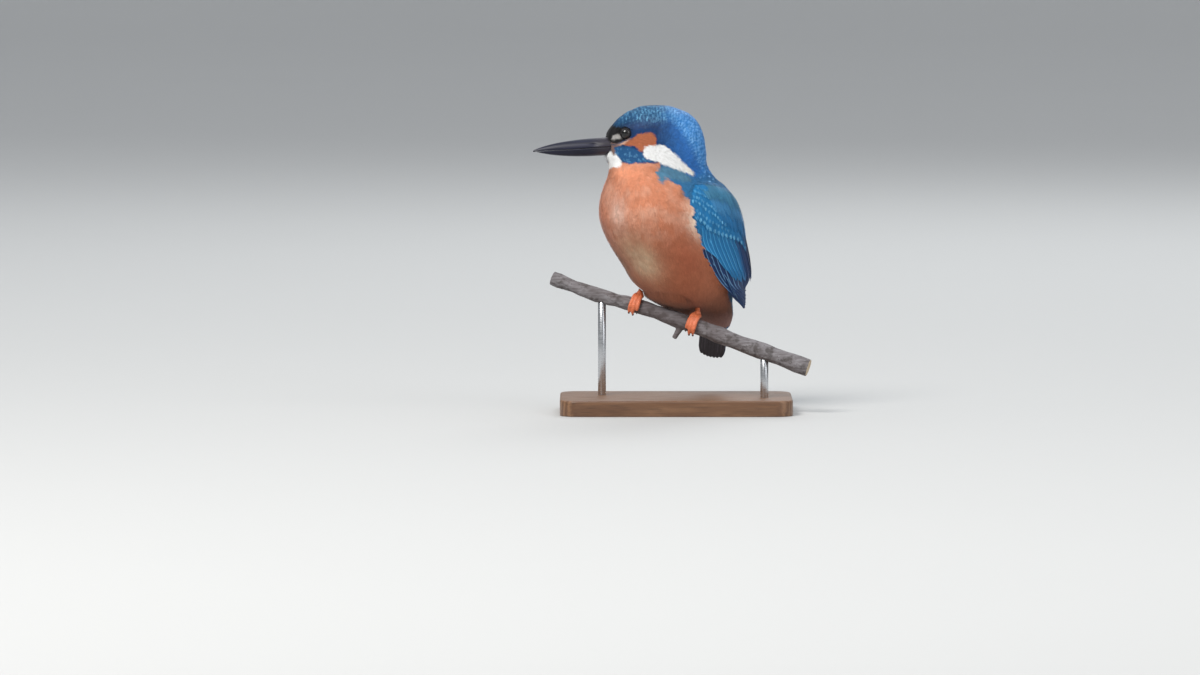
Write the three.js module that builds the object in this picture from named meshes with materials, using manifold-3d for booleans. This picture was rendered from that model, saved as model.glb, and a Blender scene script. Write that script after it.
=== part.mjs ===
// Common kingfisher (Alcedo atthis), adult male, life size: a still model of the bird sitting fluffed up
// on a short cut length of branch, which two rods hold over a flat base.
// Millimetres, +Z up. The origin is the middle of the base's underside. The front of the stand faces -Y.

import * as THREE from 'three';
import { mergeVertices } from 'three/addons/utils/BufferGeometryUtils.js';
import Module from 'manifold-3d';

const wasm = await Module();
wasm.setup();

// ---------------------------------------------------------------- driving sizes (mm, degrees)

const gap = 0.3; // thin parting between neighbouring pieces
const headTurn = 86; // how far the bill points round from the front towards the stand's left end
const bodyTurn = 48; // the same for the breast

// Level sections of the plumage, from crown to undertail. x and y place the middle of a section,
// front, back and side are its reaches from there, turn is where it faces, and the powers say how
// square its front and back corners are (2 is an ellipse).
const sectionKeys = ['z', 'x', 'y', 'front', 'back', 'side', 'turn', 'frontPower', 'backPower'];
const bodyLevels = namedLevels({
  crown: [153.6, -10.5, -8, 7.6, 7.8, 5.2, headTurn, 2.0, 2.0],
  forehead: [150, -9.5, -8, 17.0, 16.2, 11.0, headTurn, 1.9, 2.0],
  brow: [146, -9, -8, 22.0, 19.8, 13.2, headTurn, 1.75, 2.1],
  eye: [139, -8.5, -8, 27.8, 22.4, 15.0, headTurn, 1.6, 2.2],
  cheek: [131, -8, -7.5, 29.2, 23.2, 16.2, headTurn, 1.6, 2.2],
  throat: [124, -8, -6.5, 26.2, 23.8, 17.8, 78, 1.8, 2.2],
  collar: [118, -6.5, -4.5, 29.0, 26.6, 21.2, 62, 2.2, 2.2],
  shoulder: [111, -5, -2.5, 33.6, 33.0, 25.6, 52, 2.4, 2.4],
  breast: [98, -3.5, -1, 37.0, 36.2, 27.6, bodyTurn, 2.5, 2.5],
  flank: [86, -0.4, 1.5, 35.4, 33.6, 27.2, bodyTurn, 2.5, 2.5],
  belly: [74, 3.4, 4.8, 31.6, 31.2, 25.4, bodyTurn, 2.4, 2.3],
  thighs: [63, 5.8, 8.8, 27.2, 24.6, 21.5, bodyTurn, 2.3, 2.2],
  vent: [54, 12, 14, 19.0, 16.5, 15.5, bodyTurn, 2.2, 2.2],
  undertail: [47, 19, 20.5, 11.5, 9.5, 11.0, bodyTurn, 2.0, 2.0],
  tailRoot: [40.5, 21.5, 25, 6.0, 3.5, 7.5, bodyTurn, 2.0, 2.0],
});
const crownTop = 154.2;
const bodyFoot = 38.6;
const bodySides = 32;
const bodyRings = 30;

// Thin cuts that part head, neck and trunk: the height of each on the stand's middle line, and its tilt
// in degrees, with the throat side lower.
const headCut = { z: 121.5, tilt: -7 };
const neckCut = { z: 114.5, tilt: -9 };

// Folded wing: its outer face stands `swell` proud of the body between the angles lead and trail,
// counted from the front of a section round to the bird's side. Below the body the face runs on,
// drifting back with the fold.
const covertLevels = [
  { z: 115.5, lead: 98, trail: 122, swell: 1.0 },
  { z: 111, lead: 80, trail: 140, swell: 1.6 },
  { z: 105, lead: 71, trail: 150, swell: 2.2 },
  { z: 96, lead: 70, trail: 157, swell: 3.4 },
  { z: 86, lead: 72, trail: 161, swell: 3.6 },
  { z: 76, lead: 77, trail: 163, swell: 4.6 },
  { z: 69, lead: 87, trail: 161, swell: 5.5 },
  { z: 65, lead: 101, trail: 157, swell: 5.0 },
  { z: 62.5, lead: 119, trail: 148, swell: 3.6 },
];
const primaryLevels = [
  { z: 90, lead: 74, trail: 98, swell: 1.6 },
  { z: 78, lead: 78, trail: 118, swell: 2.2 },
  { z: 68, lead: 86, trail: 138, swell: 2.6 },
  { z: 61, lead: 99, trail: 146, swell: 2.4 },
  { z: 56, lead: 112, trail: 147, swell: 2.0 },
  { z: 52, lead: 126, trail: 144, swell: 1.5 },
  { z: 50.2, lead: 133, trail: 141, swell: 1.1 },
];
const wingEdge = 0.9;
const foldStart = 74;
const foldDrift = { x: 0.16, y: 0.3, shrink: 0.004 };

const tail = {
  root: [20.5, 20, 60],
  tip: [17.8, 32, 25.2],
  width: 15.2,
  rootWidth: 12.5,
  thick: 3.2,
  tipThick: 1.6,
  arch: 1.2,
  twist: 35,
};

const bill = { length: 35.1, over: 4.1, under: 4.7, halfWidth: 4.4, droop: 3.8, root: 4, gape: -0.5 };
const billBase = [-36.4, -10.0, 133.7];

const eye = { radius: 3.1, ahead: 17.0, aside: 7.95, z: 140.3 };

const perchPoints = [[-62, 66.5], [-43, 59.3], [-18, 52.6], [8, 43.8], [37, 33.2], [66, 23.2]];
const perchSlant = 0.21;
const perchMiddle = -6;
const perchRadius = { left: 3.4, right: 4.4 };
const stub = { across: 3.5, length: 8, radius: 1.7 };

const feet = { left: 8.4, right: -20 };
const toe = { radius: 1.15, spacing: 1.95, heel: -18 };
const toeEnds = { inner: 112, middle: 150, outer: 138, hind: -120 };
const ankle = { radius: 1.9, back: -14 };
const legTops = { left: [11, 4.5, 61], right: [-15.5, 8, 67] };
const legRadius = 1.45;
const claw = { sweep: 30, radius: 0.75 };

const base = { length: 116, depth: 66, height: 8, corner: 9, bevel: 1 };
const rod = { radius: 2, left: -37, right: 44, sunk: 4, bite: 1.8 };

const finishes = {
  crown: { color: 0x2f7fc4, roughness: 0.55, metalness: 0 },
  mantle: { color: 0x2f86b8, roughness: 0.55, metalness: 0 },
  breast: { color: 0xc4703c, roughness: 0.85, metalness: 0 },
  wing: { color: 0x1f6f9c, roughness: 0.55, metalness: 0 },
  tail: { color: 0x1d3550, roughness: 0.6, metalness: 0 },
  bill: { color: 0x23222b, roughness: 0.35, metalness: 0 },
  eye: { color: 0x120d0b, roughness: 0.05, metalness: 0 },
  foot: { color: 0xd8552b, roughness: 0.5, metalness: 0 },
  claw: { color: 0x2a2422, roughness: 0.4, metalness: 0 },
  bark: { color: 0x8d8a8c, roughness: 0.9, metalness: 0 },
  steel: { color: 0xb9bcc0, roughness: 0.3, metalness: 1 },
  plinth: { color: 0x6a4a33, roughness: 0.5, metalness: 0 },
};

// ---------------------------------------------------------------- helpers

const radians = (degrees) => (degrees * Math.PI) / 180;

function heading(turn) {
  return new THREE.Vector3(-Math.sin(radians(turn)), -Math.cos(radians(turn)), 0);
}

function signedVolume(positions, faces) {
  let volume = 0;
  const [a, b, c] = [new THREE.Vector3(), new THREE.Vector3(), new THREE.Vector3()];
  for (let i = 0; i < faces.length; i += 3) {
    a.fromArray(positions, faces[i] * 3);
    b.fromArray(positions, faces[i + 1] * 3);
    c.fromArray(positions, faces[i + 2] * 3);
    volume += a.dot(b.cross(c)) / 6;
  }
  return volume;
}

// Joins rings of equal count into one closed body, with a fan at each end.
function loft(rings, startTip, endTip) {
  const count = rings[0].length;
  const middle = (ring) => ring.reduce((sum, p) => sum.add(p), new THREE.Vector3()).divideScalar(count);
  const points = [startTip ?? middle(rings[0]), ...rings.flat(), endTip ?? middle(rings.at(-1))];
  const faces = [];
  const index = (row, i) => 1 + row * count + (i % count);
  const last = points.length - 1;
  for (let i = 0; i < count; i++) {
    faces.push(0, index(0, i + 1), index(0, i));
    faces.push(last, index(rings.length - 1, i), index(rings.length - 1, i + 1));
    for (let row = 0; row + 1 < rings.length; row++) {
      faces.push(index(row, i), index(row, i + 1), index(row + 1, i + 1));
      faces.push(index(row, i), index(row + 1, i + 1), index(row + 1, i));
    }
  }
  const positions = points.flatMap((p) => [p.x, p.y, p.z]);
  if (signedVolume(positions, faces) < 0) faces.reverse();
  const geometry = new THREE.BufferGeometry();
  geometry.setAttribute('position', new THREE.Float32BufferAttribute(positions, 3));
  geometry.setIndex(faces);
  return geometry;
}

function solid(geometry) {
  const bare = geometry.clone();
  bare.deleteAttribute('normal');
  bare.deleteAttribute('uv');
  const merged = mergeVertices(bare, 1e-4);
  const vertProperties = new Float32Array(merged.attributes.position.array);
  const triVerts = new Uint32Array(merged.index.array);
  return new wasm.Manifold(new wasm.Mesh({ numProp: 3, vertProperties, triVerts }));
}

function geometryOf(body) {
  const { numProp, vertProperties, triVerts } = body.getMesh();
  const positions = [];
  for (let i = 0; i < vertProperties.length; i += numProp) {
    positions.push(vertProperties[i], vertProperties[i + 1], vertProperties[i + 2]);
  }
  const geometry = new THREE.BufferGeometry();
  geometry.setAttribute('position', new THREE.Float32BufferAttribute(positions, 3));
  geometry.setIndex(Array.from(triVerts));
  return geometry;
}

// Turns rows of numbers into levels with named values.
function namedLevels(rows) {
  return Object.values(rows).map((row) => Object.fromEntries(sectionKeys.map((key, i) => [key, row[i]])));
}

// Reads a list of levels, from high to low, as smooth functions of height.
function levelReader(levels, keys) {
  const sorted = [...levels].reverse();
  const heights = sorted.map((level) => level.z);
  const values = sorted.flatMap((level) => keys.map((key) => level[key]));
  const reader = new THREE.CubicInterpolant(heights, values, keys.length);
  return (z) => {
    const found = reader.evaluate(THREE.MathUtils.clamp(z, heights[0], heights.at(-1)));
    return Object.fromEntries(keys.map((key, i) => [key, found[i]]));
  };
}

// A closed tube along points, with a radius at each and its rings set out from the given side direction.
function limb(points, radii, sides, sideways) {
  const rings = points.map((p, i) => {
    const ahead = points[Math.min(i + 1, points.length - 1)];
    const behind = points[Math.max(i - 1, 0)];
    const along = new THREE.Vector3().subVectors(ahead, behind).normalize();
    const across = sideways.clone().addScaledVector(along, -sideways.dot(along)).normalize();
    const other = new THREE.Vector3().crossVectors(along, across);
    return Array.from({ length: sides }, (_, k) => {
      const a = (k / sides) * Math.PI * 2;
      return p.clone()
        .addScaledVector(across, Math.cos(a) * radii[i])
        .addScaledVector(other, Math.sin(a) * radii[i]);
    });
  });
  return loft(rings);
}

// ---------------------------------------------------------------- plumage of head, neck and trunk

const bodyAt = levelReader(bodyLevels, sectionKeys.slice(1));

// Reach of a section in the direction that lies `turned` radians from its front, towards the bird's left.
function reach(section, turned) {
  const along = Math.cos(turned);
  const length = along > 0 ? section.front : section.back;
  const power = along > 0 ? section.frontPower : section.backPower;
  const sum = Math.abs(along / length) ** power + Math.abs(Math.sin(turned) / section.side) ** power;
  return sum ** (-1 / power);
}

function sectionPoint(section, turned, z, grow = 0) {
  const way = radians(270 - section.turn) + turned;
  const length = reach(section, turned) + grow;
  return new THREE.Vector3(section.x + length * Math.cos(way), section.y + length * Math.sin(way), z);
}

function bodyLoft(grow = 0) {
  const low = bodyLevels.at(-1).z;
  const high = bodyLevels[0].z;
  const rings = [];
  for (let row = 0; row <= bodyRings; row++) {
    const share = row / bodyRings;
    const eased = share - 0.02 * Math.sin(2 * Math.PI * share);
    const z = THREE.MathUtils.lerp(low, high, eased);
    const section = bodyAt(z);
    rings.push(Array.from({ length: bodySides }, (_, i) => {
      const way = (i / bodySides) * Math.PI * 2;
      return sectionPoint(section, way - radians(270 - section.turn), z, grow);
    }));
  }
  const [foot, crown] = [bodyAt(low), bodyAt(high)];
  return loft(
    rings,
    new THREE.Vector3(foot.x, foot.y, bodyFoot - grow),
    new THREE.Vector3(crown.x, crown.y, crownTop + grow),
  );
}

// A half space below (or above) a sloping cut, as one large block.
function halfSpace(cut, above, shift) {
  const size = 400;
  const block = new THREE.BoxGeometry(size, size, size);
  block.translate(0, 0, (above ? size : -size) / 2);
  block.rotateY(radians(cut.tilt));
  block.translate(0, 0, cut.z + shift);
  return solid(block);
}

function ballAt(center, radius, detail) {
  const ball = new THREE.IcosahedronGeometry(radius, detail);
  ball.translate(...center);
  return solid(ball);
}

const plumage = solid(bodyLoft());
const plumageGrown = solid(bodyLoft(gap));

// ---------------------------------------------------------------- wings

function wingHost(z) {
  const section = bodyAt(Math.max(z, foldStart));
  const below = Math.max(0, foldStart - z);
  const scale = 1 - below * foldDrift.shrink;
  return {
    ...section,
    x: section.x + below * foldDrift.x,
    y: section.y + below * foldDrift.y,
    front: section.front * scale,
    back: section.back * scale,
    side: section.side * scale,
  };
}

// One blade of the folded wing: a crescent at each level, thick in its middle and thin at its edges.
function wingBlade(levels, side, inner, arcSteps, rows) {
  const read = levelReader(levels, ['lead', 'trail', 'swell']);
  const rings = [];
  for (let row = 0; row <= rows; row++) {
    const z = THREE.MathUtils.lerp(levels.at(-1).z, levels[0].z, row / rows);
    const { lead, trail, swell } = read(z);
    const host = wingHost(z);
    const outerArc = [];
    const innerArc = [];
    for (let i = 0; i <= arcSteps; i++) {
      const share = i / arcSteps;
      const turned = side * radians(THREE.MathUtils.lerp(lead, trail, share));
      const bulge = Math.min(1, 3.2 * share * (1.08 - share)) ** 0.7;
      outerArc.push(sectionPoint(host, turned, z, wingEdge + (swell - wingEdge) * bulge));
      innerArc.push(sectionPoint(host, turned, z, -inner));
    }
    rings.push([...outerArc, ...innerArc.reverse()]);
  }
  return solid(loft(rings));
}

function wing(side) {
  const coverts = wingBlade(covertLevels, side, 0.4, 9, 14);
  const primaries = wingBlade(primaryLevels, side, 0.1, 6, 10);
  return coverts.add(primaries).subtract(plumageGrown);
}

// ---------------------------------------------------------------- tail

function tailSolid() {
  const root = new THREE.Vector3(...tail.root);
  const tip = new THREE.Vector3(...tail.tip);
  const along = tip.clone().sub(root).normalize();
  const across = new THREE.Vector3().crossVectors(along, new THREE.Vector3(0, 0, 1)).normalize();
  across.applyAxisAngle(along, radians(tail.twist));
  const facing = new THREE.Vector3().crossVectors(along, across);
  const steps = 9;
  const rings = [];
  for (let i = 0; i < steps; i++) {
    const share = i / (steps - 1);
    const rounding = Math.sqrt(1 - Math.max(0, (share - 0.86) / 0.14) ** 2 * 0.5);
    const half = THREE.MathUtils.lerp(tail.rootWidth, tail.width, share) / 2 * rounding;
    const thick = THREE.MathUtils.lerp(tail.thick, tail.tipThick, share) / 2;
    const middle = root.clone().lerp(tip, share);
    rings.push(Array.from({ length: 12 }, (_, k) => {
      const a = (k / 12) * Math.PI * 2;
      const arch = tail.arch * Math.cos(a) ** 2;
      return middle.clone()
        .addScaledVector(across, half * Math.cos(a))
        .addScaledVector(facing, thick * Math.sin(a) - arch);
    }));
  }
  return solid(loft(rings)).subtract(plumageGrown);
}

// ---------------------------------------------------------------- bill

// Sections of the closed bill from its root, sunk in the face, to its tip along local +X.
function billLoft(grow = 0) {
  const steps = 11;
  const rings = [];
  for (let i = 0; i < steps; i++) {
    const x = THREE.MathUtils.lerp(-bill.root, bill.length * 0.985, (i / (steps - 1)) ** 0.9);
    const share = Math.max(0, x / bill.length);
    const over = bill.over * (1 - share ** 2.5) ** 0.8 + grow;
    const under = bill.under * (1 - share ** 2.2) ** 0.8 + grow;
    const half = bill.halfWidth * (1 - share) ** 0.72 + 0.25 + grow;
    rings.push(Array.from({ length: 12 }, (_, k) => {
      const a = (k / 12) * Math.PI * 2;
      const round = (value) => Math.sign(value) * Math.abs(value) ** 1.12;
      const height = Math.sin(a) > 0 ? over : under;
      return new THREE.Vector3(x, half * round(Math.cos(a)), height * round(Math.sin(a)));
    }));
  }
  return loft(rings, undefined, new THREE.Vector3(bill.length + grow, 0, 0));
}

function billFrame() {
  const forward = heading(headTurn);
  const spin = new THREE.Matrix4().makeRotationZ(Math.atan2(forward.y, forward.x));
  const droop = new THREE.Matrix4().makeRotationY(radians(bill.droop));
  const place = new THREE.Matrix4().makeTranslation(...billBase);
  return place.multiply(spin).multiply(droop);
}

// One mandible: the bill above or below its slit.
function billPart(upper) {
  const size = 120;
  const block = new THREE.BoxGeometry(size, size, size);
  block.translate(0, 0, ((upper ? 1 : -1) * (size + gap)) / 2 + bill.gape);
  return solid(billLoft()).intersect(solid(block));
}

// ---------------------------------------------------------------- eyes

function eyeCenter(side) {
  const section = bodyAt(eye.z);
  const forward = heading(headTurn);
  const left = heading(headTurn + 90).multiplyScalar(-1);
  return new THREE.Vector3(section.x, section.y, eye.z)
    .addScaledVector(forward, eye.ahead)
    .addScaledVector(left, side * eye.aside);
}

// ---------------------------------------------------------------- perch

const perchCurve = new THREE.CatmullRomCurve3(
  perchPoints.map(([x, z]) => new THREE.Vector3(x, -perchSlant * (x - perchMiddle), z)),
);

function perchShare(across) {
  let [low, high] = [0, 1];
  for (let i = 0; i < 30; i++) {
    const middle = (low + high) / 2;
    if (perchCurve.getPoint(middle).x < across) low = middle;
    else high = middle;
  }
  return low;
}

function perchRadiusAt(share) {
  return THREE.MathUtils.lerp(perchRadius.left, perchRadius.right, share);
}

// Middle, direction and radius of the perch at a place along it, with its front and upper sides.
function perchPlace(across) {
  const share = perchShare(across);
  const along = perchCurve.getTangent(share);
  const front = new THREE.Vector3().crossVectors(along, new THREE.Vector3(0, 0, 1)).normalize();
  const up = new THREE.Vector3().crossVectors(front, along);
  return { middle: perchCurve.getPoint(share), along, front, up, radius: perchRadiusAt(share) };
}

// Bark swells here and there, but not where the toes hold it.
function barkSwell(x, a) {
  const nearFoot = Math.min(Math.abs(x - feet.left), Math.abs(x - feet.right));
  const free = THREE.MathUtils.smoothstep(nearFoot, 4.5, 9);
  const knots = 0.3 * Math.sin(x * 0.31 + 1.3) + 0.2 * Math.sin(x * 0.57 + 2 * a);
  return free * (knots + 0.15 * Math.sin(3 * a + x * 0.2));
}

function perchSolid() {
  const steps = 26;
  const rings = [];
  for (let row = 0; row <= steps; row++) {
    const share = row / steps;
    const point = perchCurve.getPoint(share);
    const { along, front, up } = perchPlace(THREE.MathUtils.clamp(point.x, -61.9, 65.9));
    const radius = perchRadiusAt(share);
    rings.push(Array.from({ length: 12 }, (_, k) => {
      const a = (k / 12) * Math.PI * 2;
      const r = radius + barkSwell(point.x, a);
      return point.clone().addScaledVector(front, r * Math.cos(a)).addScaledVector(up, r * Math.sin(a));
    }));
  }
  return solid(loft(rings)).add(stubSolid());
}

// Broken twig that hangs under the perch between the feet.
function stubSolid() {
  const { middle, up, along, radius } = perchPlace(stub.across);
  const steps = 5;
  const points = Array.from({ length: steps }, (_, i) => {
    const share = i / (steps - 1);
    return middle.clone()
      .addScaledVector(up, -(radius - 2.5 + share * stub.length))
      .addScaledVector(along, -share * 1.6);
  });
  const radii = points.map((_, i) => stub.radius * (1.25 - 0.5 * (i / (steps - 1))));
  return solid(limb(points, radii, 7, along));
}

// ---------------------------------------------------------------- legs, feet and claws

// Point on a path that wraps the perch: turned is 0 over the top and 90 at the front.
function wrapped(place, turned, height, offset) {
  const distance = place.radius + gap + height;
  return place.middle.clone()
    .addScaledVector(place.up, distance * Math.cos(radians(turned)))
    .addScaledVector(place.front, distance * Math.sin(radians(turned)))
    .addScaledVector(place.along, offset);
}

function toePath(place, lane, end) {
  const steps = 9;
  return Array.from({ length: steps }, (_, i) => {
    const share = i / (steps - 1);
    const spread = toe.spacing * lane * (0.72 + 0.34 * share);
    return wrapped(place, THREE.MathUtils.lerp(toe.heel, end, share), toe.radius, spread);
  });
}

function toeRadii(count) {
  return Array.from({ length: count }, (_, i) => {
    const share = i / (count - 1);
    const pads = 0.06 * Math.cos(share * Math.PI * 6);
    const end = 1 - Math.max(0, (share - 0.86) / 0.14) ** 2 * 0.45;
    return toe.radius * (1 - 0.2 * share + pads) * end;
  });
}

function toeLanes(side) {
  return [
    { lane: -side, end: toeEnds.inner },
    { lane: 0, end: toeEnds.middle },
    { lane: side, end: toeEnds.outer },
    { lane: 0, end: toeEnds.hind },
  ];
}

function ankleCenter(place) {
  return wrapped(place, ankle.back, ankle.radius, 0);
}

function footSolid(side, across) {
  const place = perchPlace(across);
  let foot = ballAt(ankleCenter(place).toArray(), ankle.radius, 1);
  for (const { lane, end } of toeLanes(side)) {
    const path = toePath(place, lane, end);
    foot = foot.add(solid(limb(path, toeRadii(path.length), 7, place.along)));
  }
  return foot;
}

function clawSolid(place, lane, end) {
  const way = Math.sign(end);
  const steps = 4;
  const points = Array.from({ length: steps }, (_, i) => {
    const share = i / (steps - 1);
    const spread = toe.spacing * lane * 1.06;
    const turned = end + way * (4.5 + share * claw.sweep);
    return wrapped(place, turned, toe.radius * (0.85 - 0.5 * share) + 0.1, spread);
  });
  const radii = points.map((_, i) => claw.radius * (1 - 0.8 * (i / (steps - 1))));
  return limb(points, radii, 5, place.along);
}

function legSolid(across, top) {
  const place = perchPlace(across);
  const start = ankleCenter(place);
  const end = new THREE.Vector3(...top);
  const knee = start.clone().lerp(end, 0.5).addScaledVector(place.front, -0.8);
  const points = [start, start.clone().lerp(knee, 0.5), knee, end];
  const radii = [1, 0.95, 1.1, 1.3].map((share) => share * legRadius);
  const leg = solid(limb(points, radii, 8, place.along));
  return leg.subtract(ballAt(start.toArray(), ankle.radius + gap, 1)).subtract(plumageGrown);
}

// ---------------------------------------------------------------- display stand

function baseGeometry() {
  const [x, y, r] = [base.length / 2 - base.bevel, base.depth / 2 - base.bevel, base.corner];
  const outline = new THREE.Shape();
  outline.moveTo(-x + r, -y);
  outline.lineTo(x - r, -y);
  outline.absarc(x - r, -y + r, r, -Math.PI / 2, 0);
  outline.lineTo(x, y - r);
  outline.absarc(x - r, y - r, r, 0, Math.PI / 2);
  outline.lineTo(-x + r, y);
  outline.absarc(-x + r, y - r, r, Math.PI / 2, Math.PI);
  outline.lineTo(-x, -y + r);
  outline.absarc(-x + r, -y + r, r, Math.PI, Math.PI * 1.5);
  const geometry = new THREE.ExtrudeGeometry(outline, {
    depth: base.height - 2 * base.bevel,
    bevelEnabled: true,
    bevelSize: base.bevel,
    bevelThickness: base.bevel,
    bevelSegments: 1,
    curveSegments: 4,
  });
  geometry.translate(0, 0, base.bevel);
  return geometry;
}

function rodGeometry(across, grow = 0) {
  const { middle, radius } = perchPlace(across);
  const top = middle.z - radius + rod.bite + grow;
  const bottom = base.height - rod.sunk - grow;
  const geometry = new THREE.CylinderGeometry(rod.radius + grow, rod.radius + grow, top - bottom, 16);
  geometry.rotateX(Math.PI / 2);
  geometry.translate(middle.x, middle.y, (top + bottom) / 2);
  return geometry;
}

// ---------------------------------------------------------------- scene graph

function material(finish) {
  return new THREE.MeshStandardMaterial(finishes[finish]);
}

function named(name, geometry, finish) {
  const mesh = new THREE.Mesh(geometry, material(finish));
  mesh.name = name;
  return mesh;
}

function birdGroup() {
  const bird = new THREE.Group();
  const face = billFrame();
  const billCutter = solid(billLoft(gap).applyMatrix4(face));
  const sockets = [1, -1].map((side) => ballAt(eyeCenter(side).toArray(), eye.radius + gap, 2));
  const headBody = plumage.intersect(halfSpace(headCut, true, gap / 2))
    .subtract(billCutter).subtract(sockets[0]).subtract(sockets[1]);
  const neckBody = plumage.intersect(halfSpace(headCut, false, -gap / 2))
    .intersect(halfSpace(neckCut, true, gap / 2));
  let trunkBody = plumage.intersect(halfSpace(neckCut, false, -gap / 2));
  bird.add(named('head', geometryOf(headBody), 'crown'));
  bird.add(named('neck', geometryOf(neckBody), 'mantle'));
  bird.add(named('tail', geometryOf(tailSolid()), 'tail'));

  const beak = new THREE.Group();
  beak.applyMatrix4(face);
  beak.add(named('bill_upper', geometryOf(billPart(true)), 'bill'));
  beak.add(named('bill_lower', geometryOf(billPart(false)), 'bill'));
  bird.add(beak);

  for (const [label, side] of [['left', 1], ['right', -1]]) {
    const ball = named(`eye_${label}`, new THREE.IcosahedronGeometry(eye.radius, 2), 'eye');
    ball.position.copy(eyeCenter(side));
    bird.add(ball);
    bird.add(named(`wing_${label}`, geometryOf(wing(side)), 'wing'));
    bird.add(named(`leg_${label}`, geometryOf(legSolid(feet[label], legTops[label])), 'foot'));
    bird.add(named(`foot_${label}`, geometryOf(footSolid(side, feet[label])), 'foot'));
    const place = perchPlace(feet[label]);
    trunkBody = trunkBody.subtract(ballAt(ankleCenter(place).toArray(), ankle.radius + gap, 1));
    toeLanes(side).forEach(({ lane, end }, i) => {
      bird.add(named(`claw_${label}_${i + 1}`, clawSolid(place, lane, end), 'claw'));
    });
  }
  bird.add(named('trunk', geometryOf(trunkBody), 'breast'));
  return bird;
}

function standGroup() {
  const stand = new THREE.Group();
  let perch = perchSolid();
  let plinth = solid(baseGeometry());
  for (const label of ['left', 'right']) {
    const grown = solid(rodGeometry(rod[label], gap));
    perch = perch.subtract(grown);
    plinth = plinth.subtract(grown);
    stand.add(named(`stand_rod_${label}`, rodGeometry(rod[label]), 'steel'));
  }
  stand.add(named('perch', geometryOf(perch), 'bark'));
  stand.add(named('stand_base', geometryOf(plinth), 'plinth'));
  return stand;
}

const model = new THREE.Group();
model.name = 'common_kingfisher';
model.add(birdGroup());
model.add(standGroup());
model.updateMatrixWorld(true);

export default model;
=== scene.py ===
import math

import bmesh
import bpy
import numpy as np
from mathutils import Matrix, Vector
from mathutils.bvhtree import BVHTree


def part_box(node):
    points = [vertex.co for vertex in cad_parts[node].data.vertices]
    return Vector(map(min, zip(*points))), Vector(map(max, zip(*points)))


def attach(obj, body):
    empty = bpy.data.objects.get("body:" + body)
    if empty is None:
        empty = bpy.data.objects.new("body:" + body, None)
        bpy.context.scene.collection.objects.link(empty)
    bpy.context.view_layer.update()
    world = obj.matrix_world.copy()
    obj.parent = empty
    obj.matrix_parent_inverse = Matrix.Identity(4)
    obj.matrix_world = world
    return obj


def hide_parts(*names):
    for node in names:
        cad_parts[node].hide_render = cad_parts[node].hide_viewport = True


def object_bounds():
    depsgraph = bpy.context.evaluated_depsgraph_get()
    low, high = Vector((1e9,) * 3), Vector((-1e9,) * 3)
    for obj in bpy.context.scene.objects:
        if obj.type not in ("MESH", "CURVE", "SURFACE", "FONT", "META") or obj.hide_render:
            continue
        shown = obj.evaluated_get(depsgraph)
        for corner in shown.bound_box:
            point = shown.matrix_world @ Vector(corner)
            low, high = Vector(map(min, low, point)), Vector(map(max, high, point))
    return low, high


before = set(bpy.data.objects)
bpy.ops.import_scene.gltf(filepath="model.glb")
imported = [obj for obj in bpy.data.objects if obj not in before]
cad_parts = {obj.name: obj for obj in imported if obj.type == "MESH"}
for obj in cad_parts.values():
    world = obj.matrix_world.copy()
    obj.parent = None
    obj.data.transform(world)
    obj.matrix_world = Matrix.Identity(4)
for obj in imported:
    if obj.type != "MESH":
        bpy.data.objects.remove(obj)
cadLow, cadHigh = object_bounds()
mm = 0.001
zAxis = np.array([0.0, 0.0, 1.0])
print("frame loaded:", len(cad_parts), "nodes")


# small helpers

def unit(v):
    v = np.asarray(v, float)
    return v / np.maximum(np.linalg.norm(v, axis=-1, keepdims=True), 1e-12)


def srgb(r, g, b):
    # screen colour, 0 to 255, as linear colour
    c = np.array([r, g, b], float) / 255
    return np.where(c <= 0.04045, c / 12.92, ((c + 0.055) / 1.055) ** 2.4)


def smoothStep(value, low, high):
    t = np.clip((value - low) / (high - low), 0, 1)
    return t * t * (3 - 2 * t)


def blend(a, b, share):
    return a + (b - a) * np.asarray(share)[..., None]


noiseHash = {"steps": np.array([374761393, 668265263, 1442695041]), "stir": 1274126177, "seedShift": 17.31}


def softNoise(points, scale, seed=0):
    # smooth random value from -1 to 1 at each point
    p = points / scale + seed * noiseHash["seedShift"]
    cell = np.floor(p).astype(np.int64)
    f = p - cell
    f = f * f * (3 - 2 * f)
    total = np.zeros(len(points))
    for corner in range(8):
        step = np.array([corner & 1, (corner >> 1) & 1, corner >> 2])
        n = (cell + step) @ noiseHash["steps"]
        n = (n ^ (n >> 13)) * noiseHash["stir"]
        n = (n ^ (n >> 16)) & 0xFFFF
        total += (n / 32767.5 - 1) * np.prod(np.where(step == 1, f, 1 - f), axis=1)
    return total


def layeredNoise(points, layers):
    # each layer: size in mm, squeeze of the height, strength and seed
    return sum(softNoise(points * [1, 1, squeeze], size * mm, seed) * strength
               for size, squeeze, strength, seed in layers)


def meshObject(name, points, polygons):
    # polygons is a list of arrays, each with one row of corner numbers per face
    corners = np.concatenate([p.ravel() for p in polygons]).astype(np.int32)
    sizes = np.concatenate([np.full(len(p), p.shape[1]) for p in polygons])
    starts = np.concatenate([[0], np.cumsum(sizes)[:-1]]).astype(np.int32)
    mesh = bpy.data.meshes.new(name)
    mesh.vertices.add(len(points))
    mesh.vertices.foreach_set("co", np.asarray(points, np.float32).ravel())
    mesh.loops.add(len(corners))
    mesh.loops.foreach_set("vertex_index", corners)
    mesh.polygons.add(len(sizes))
    mesh.polygons.foreach_set("loop_start", starts)
    mesh.update(calc_edges=True)
    mesh.polygons.foreach_set("use_smooth", np.ones(len(sizes), bool))
    obj = bpy.data.objects.new(name, mesh)
    bpy.context.scene.collection.objects.link(obj)
    return obj


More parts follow.
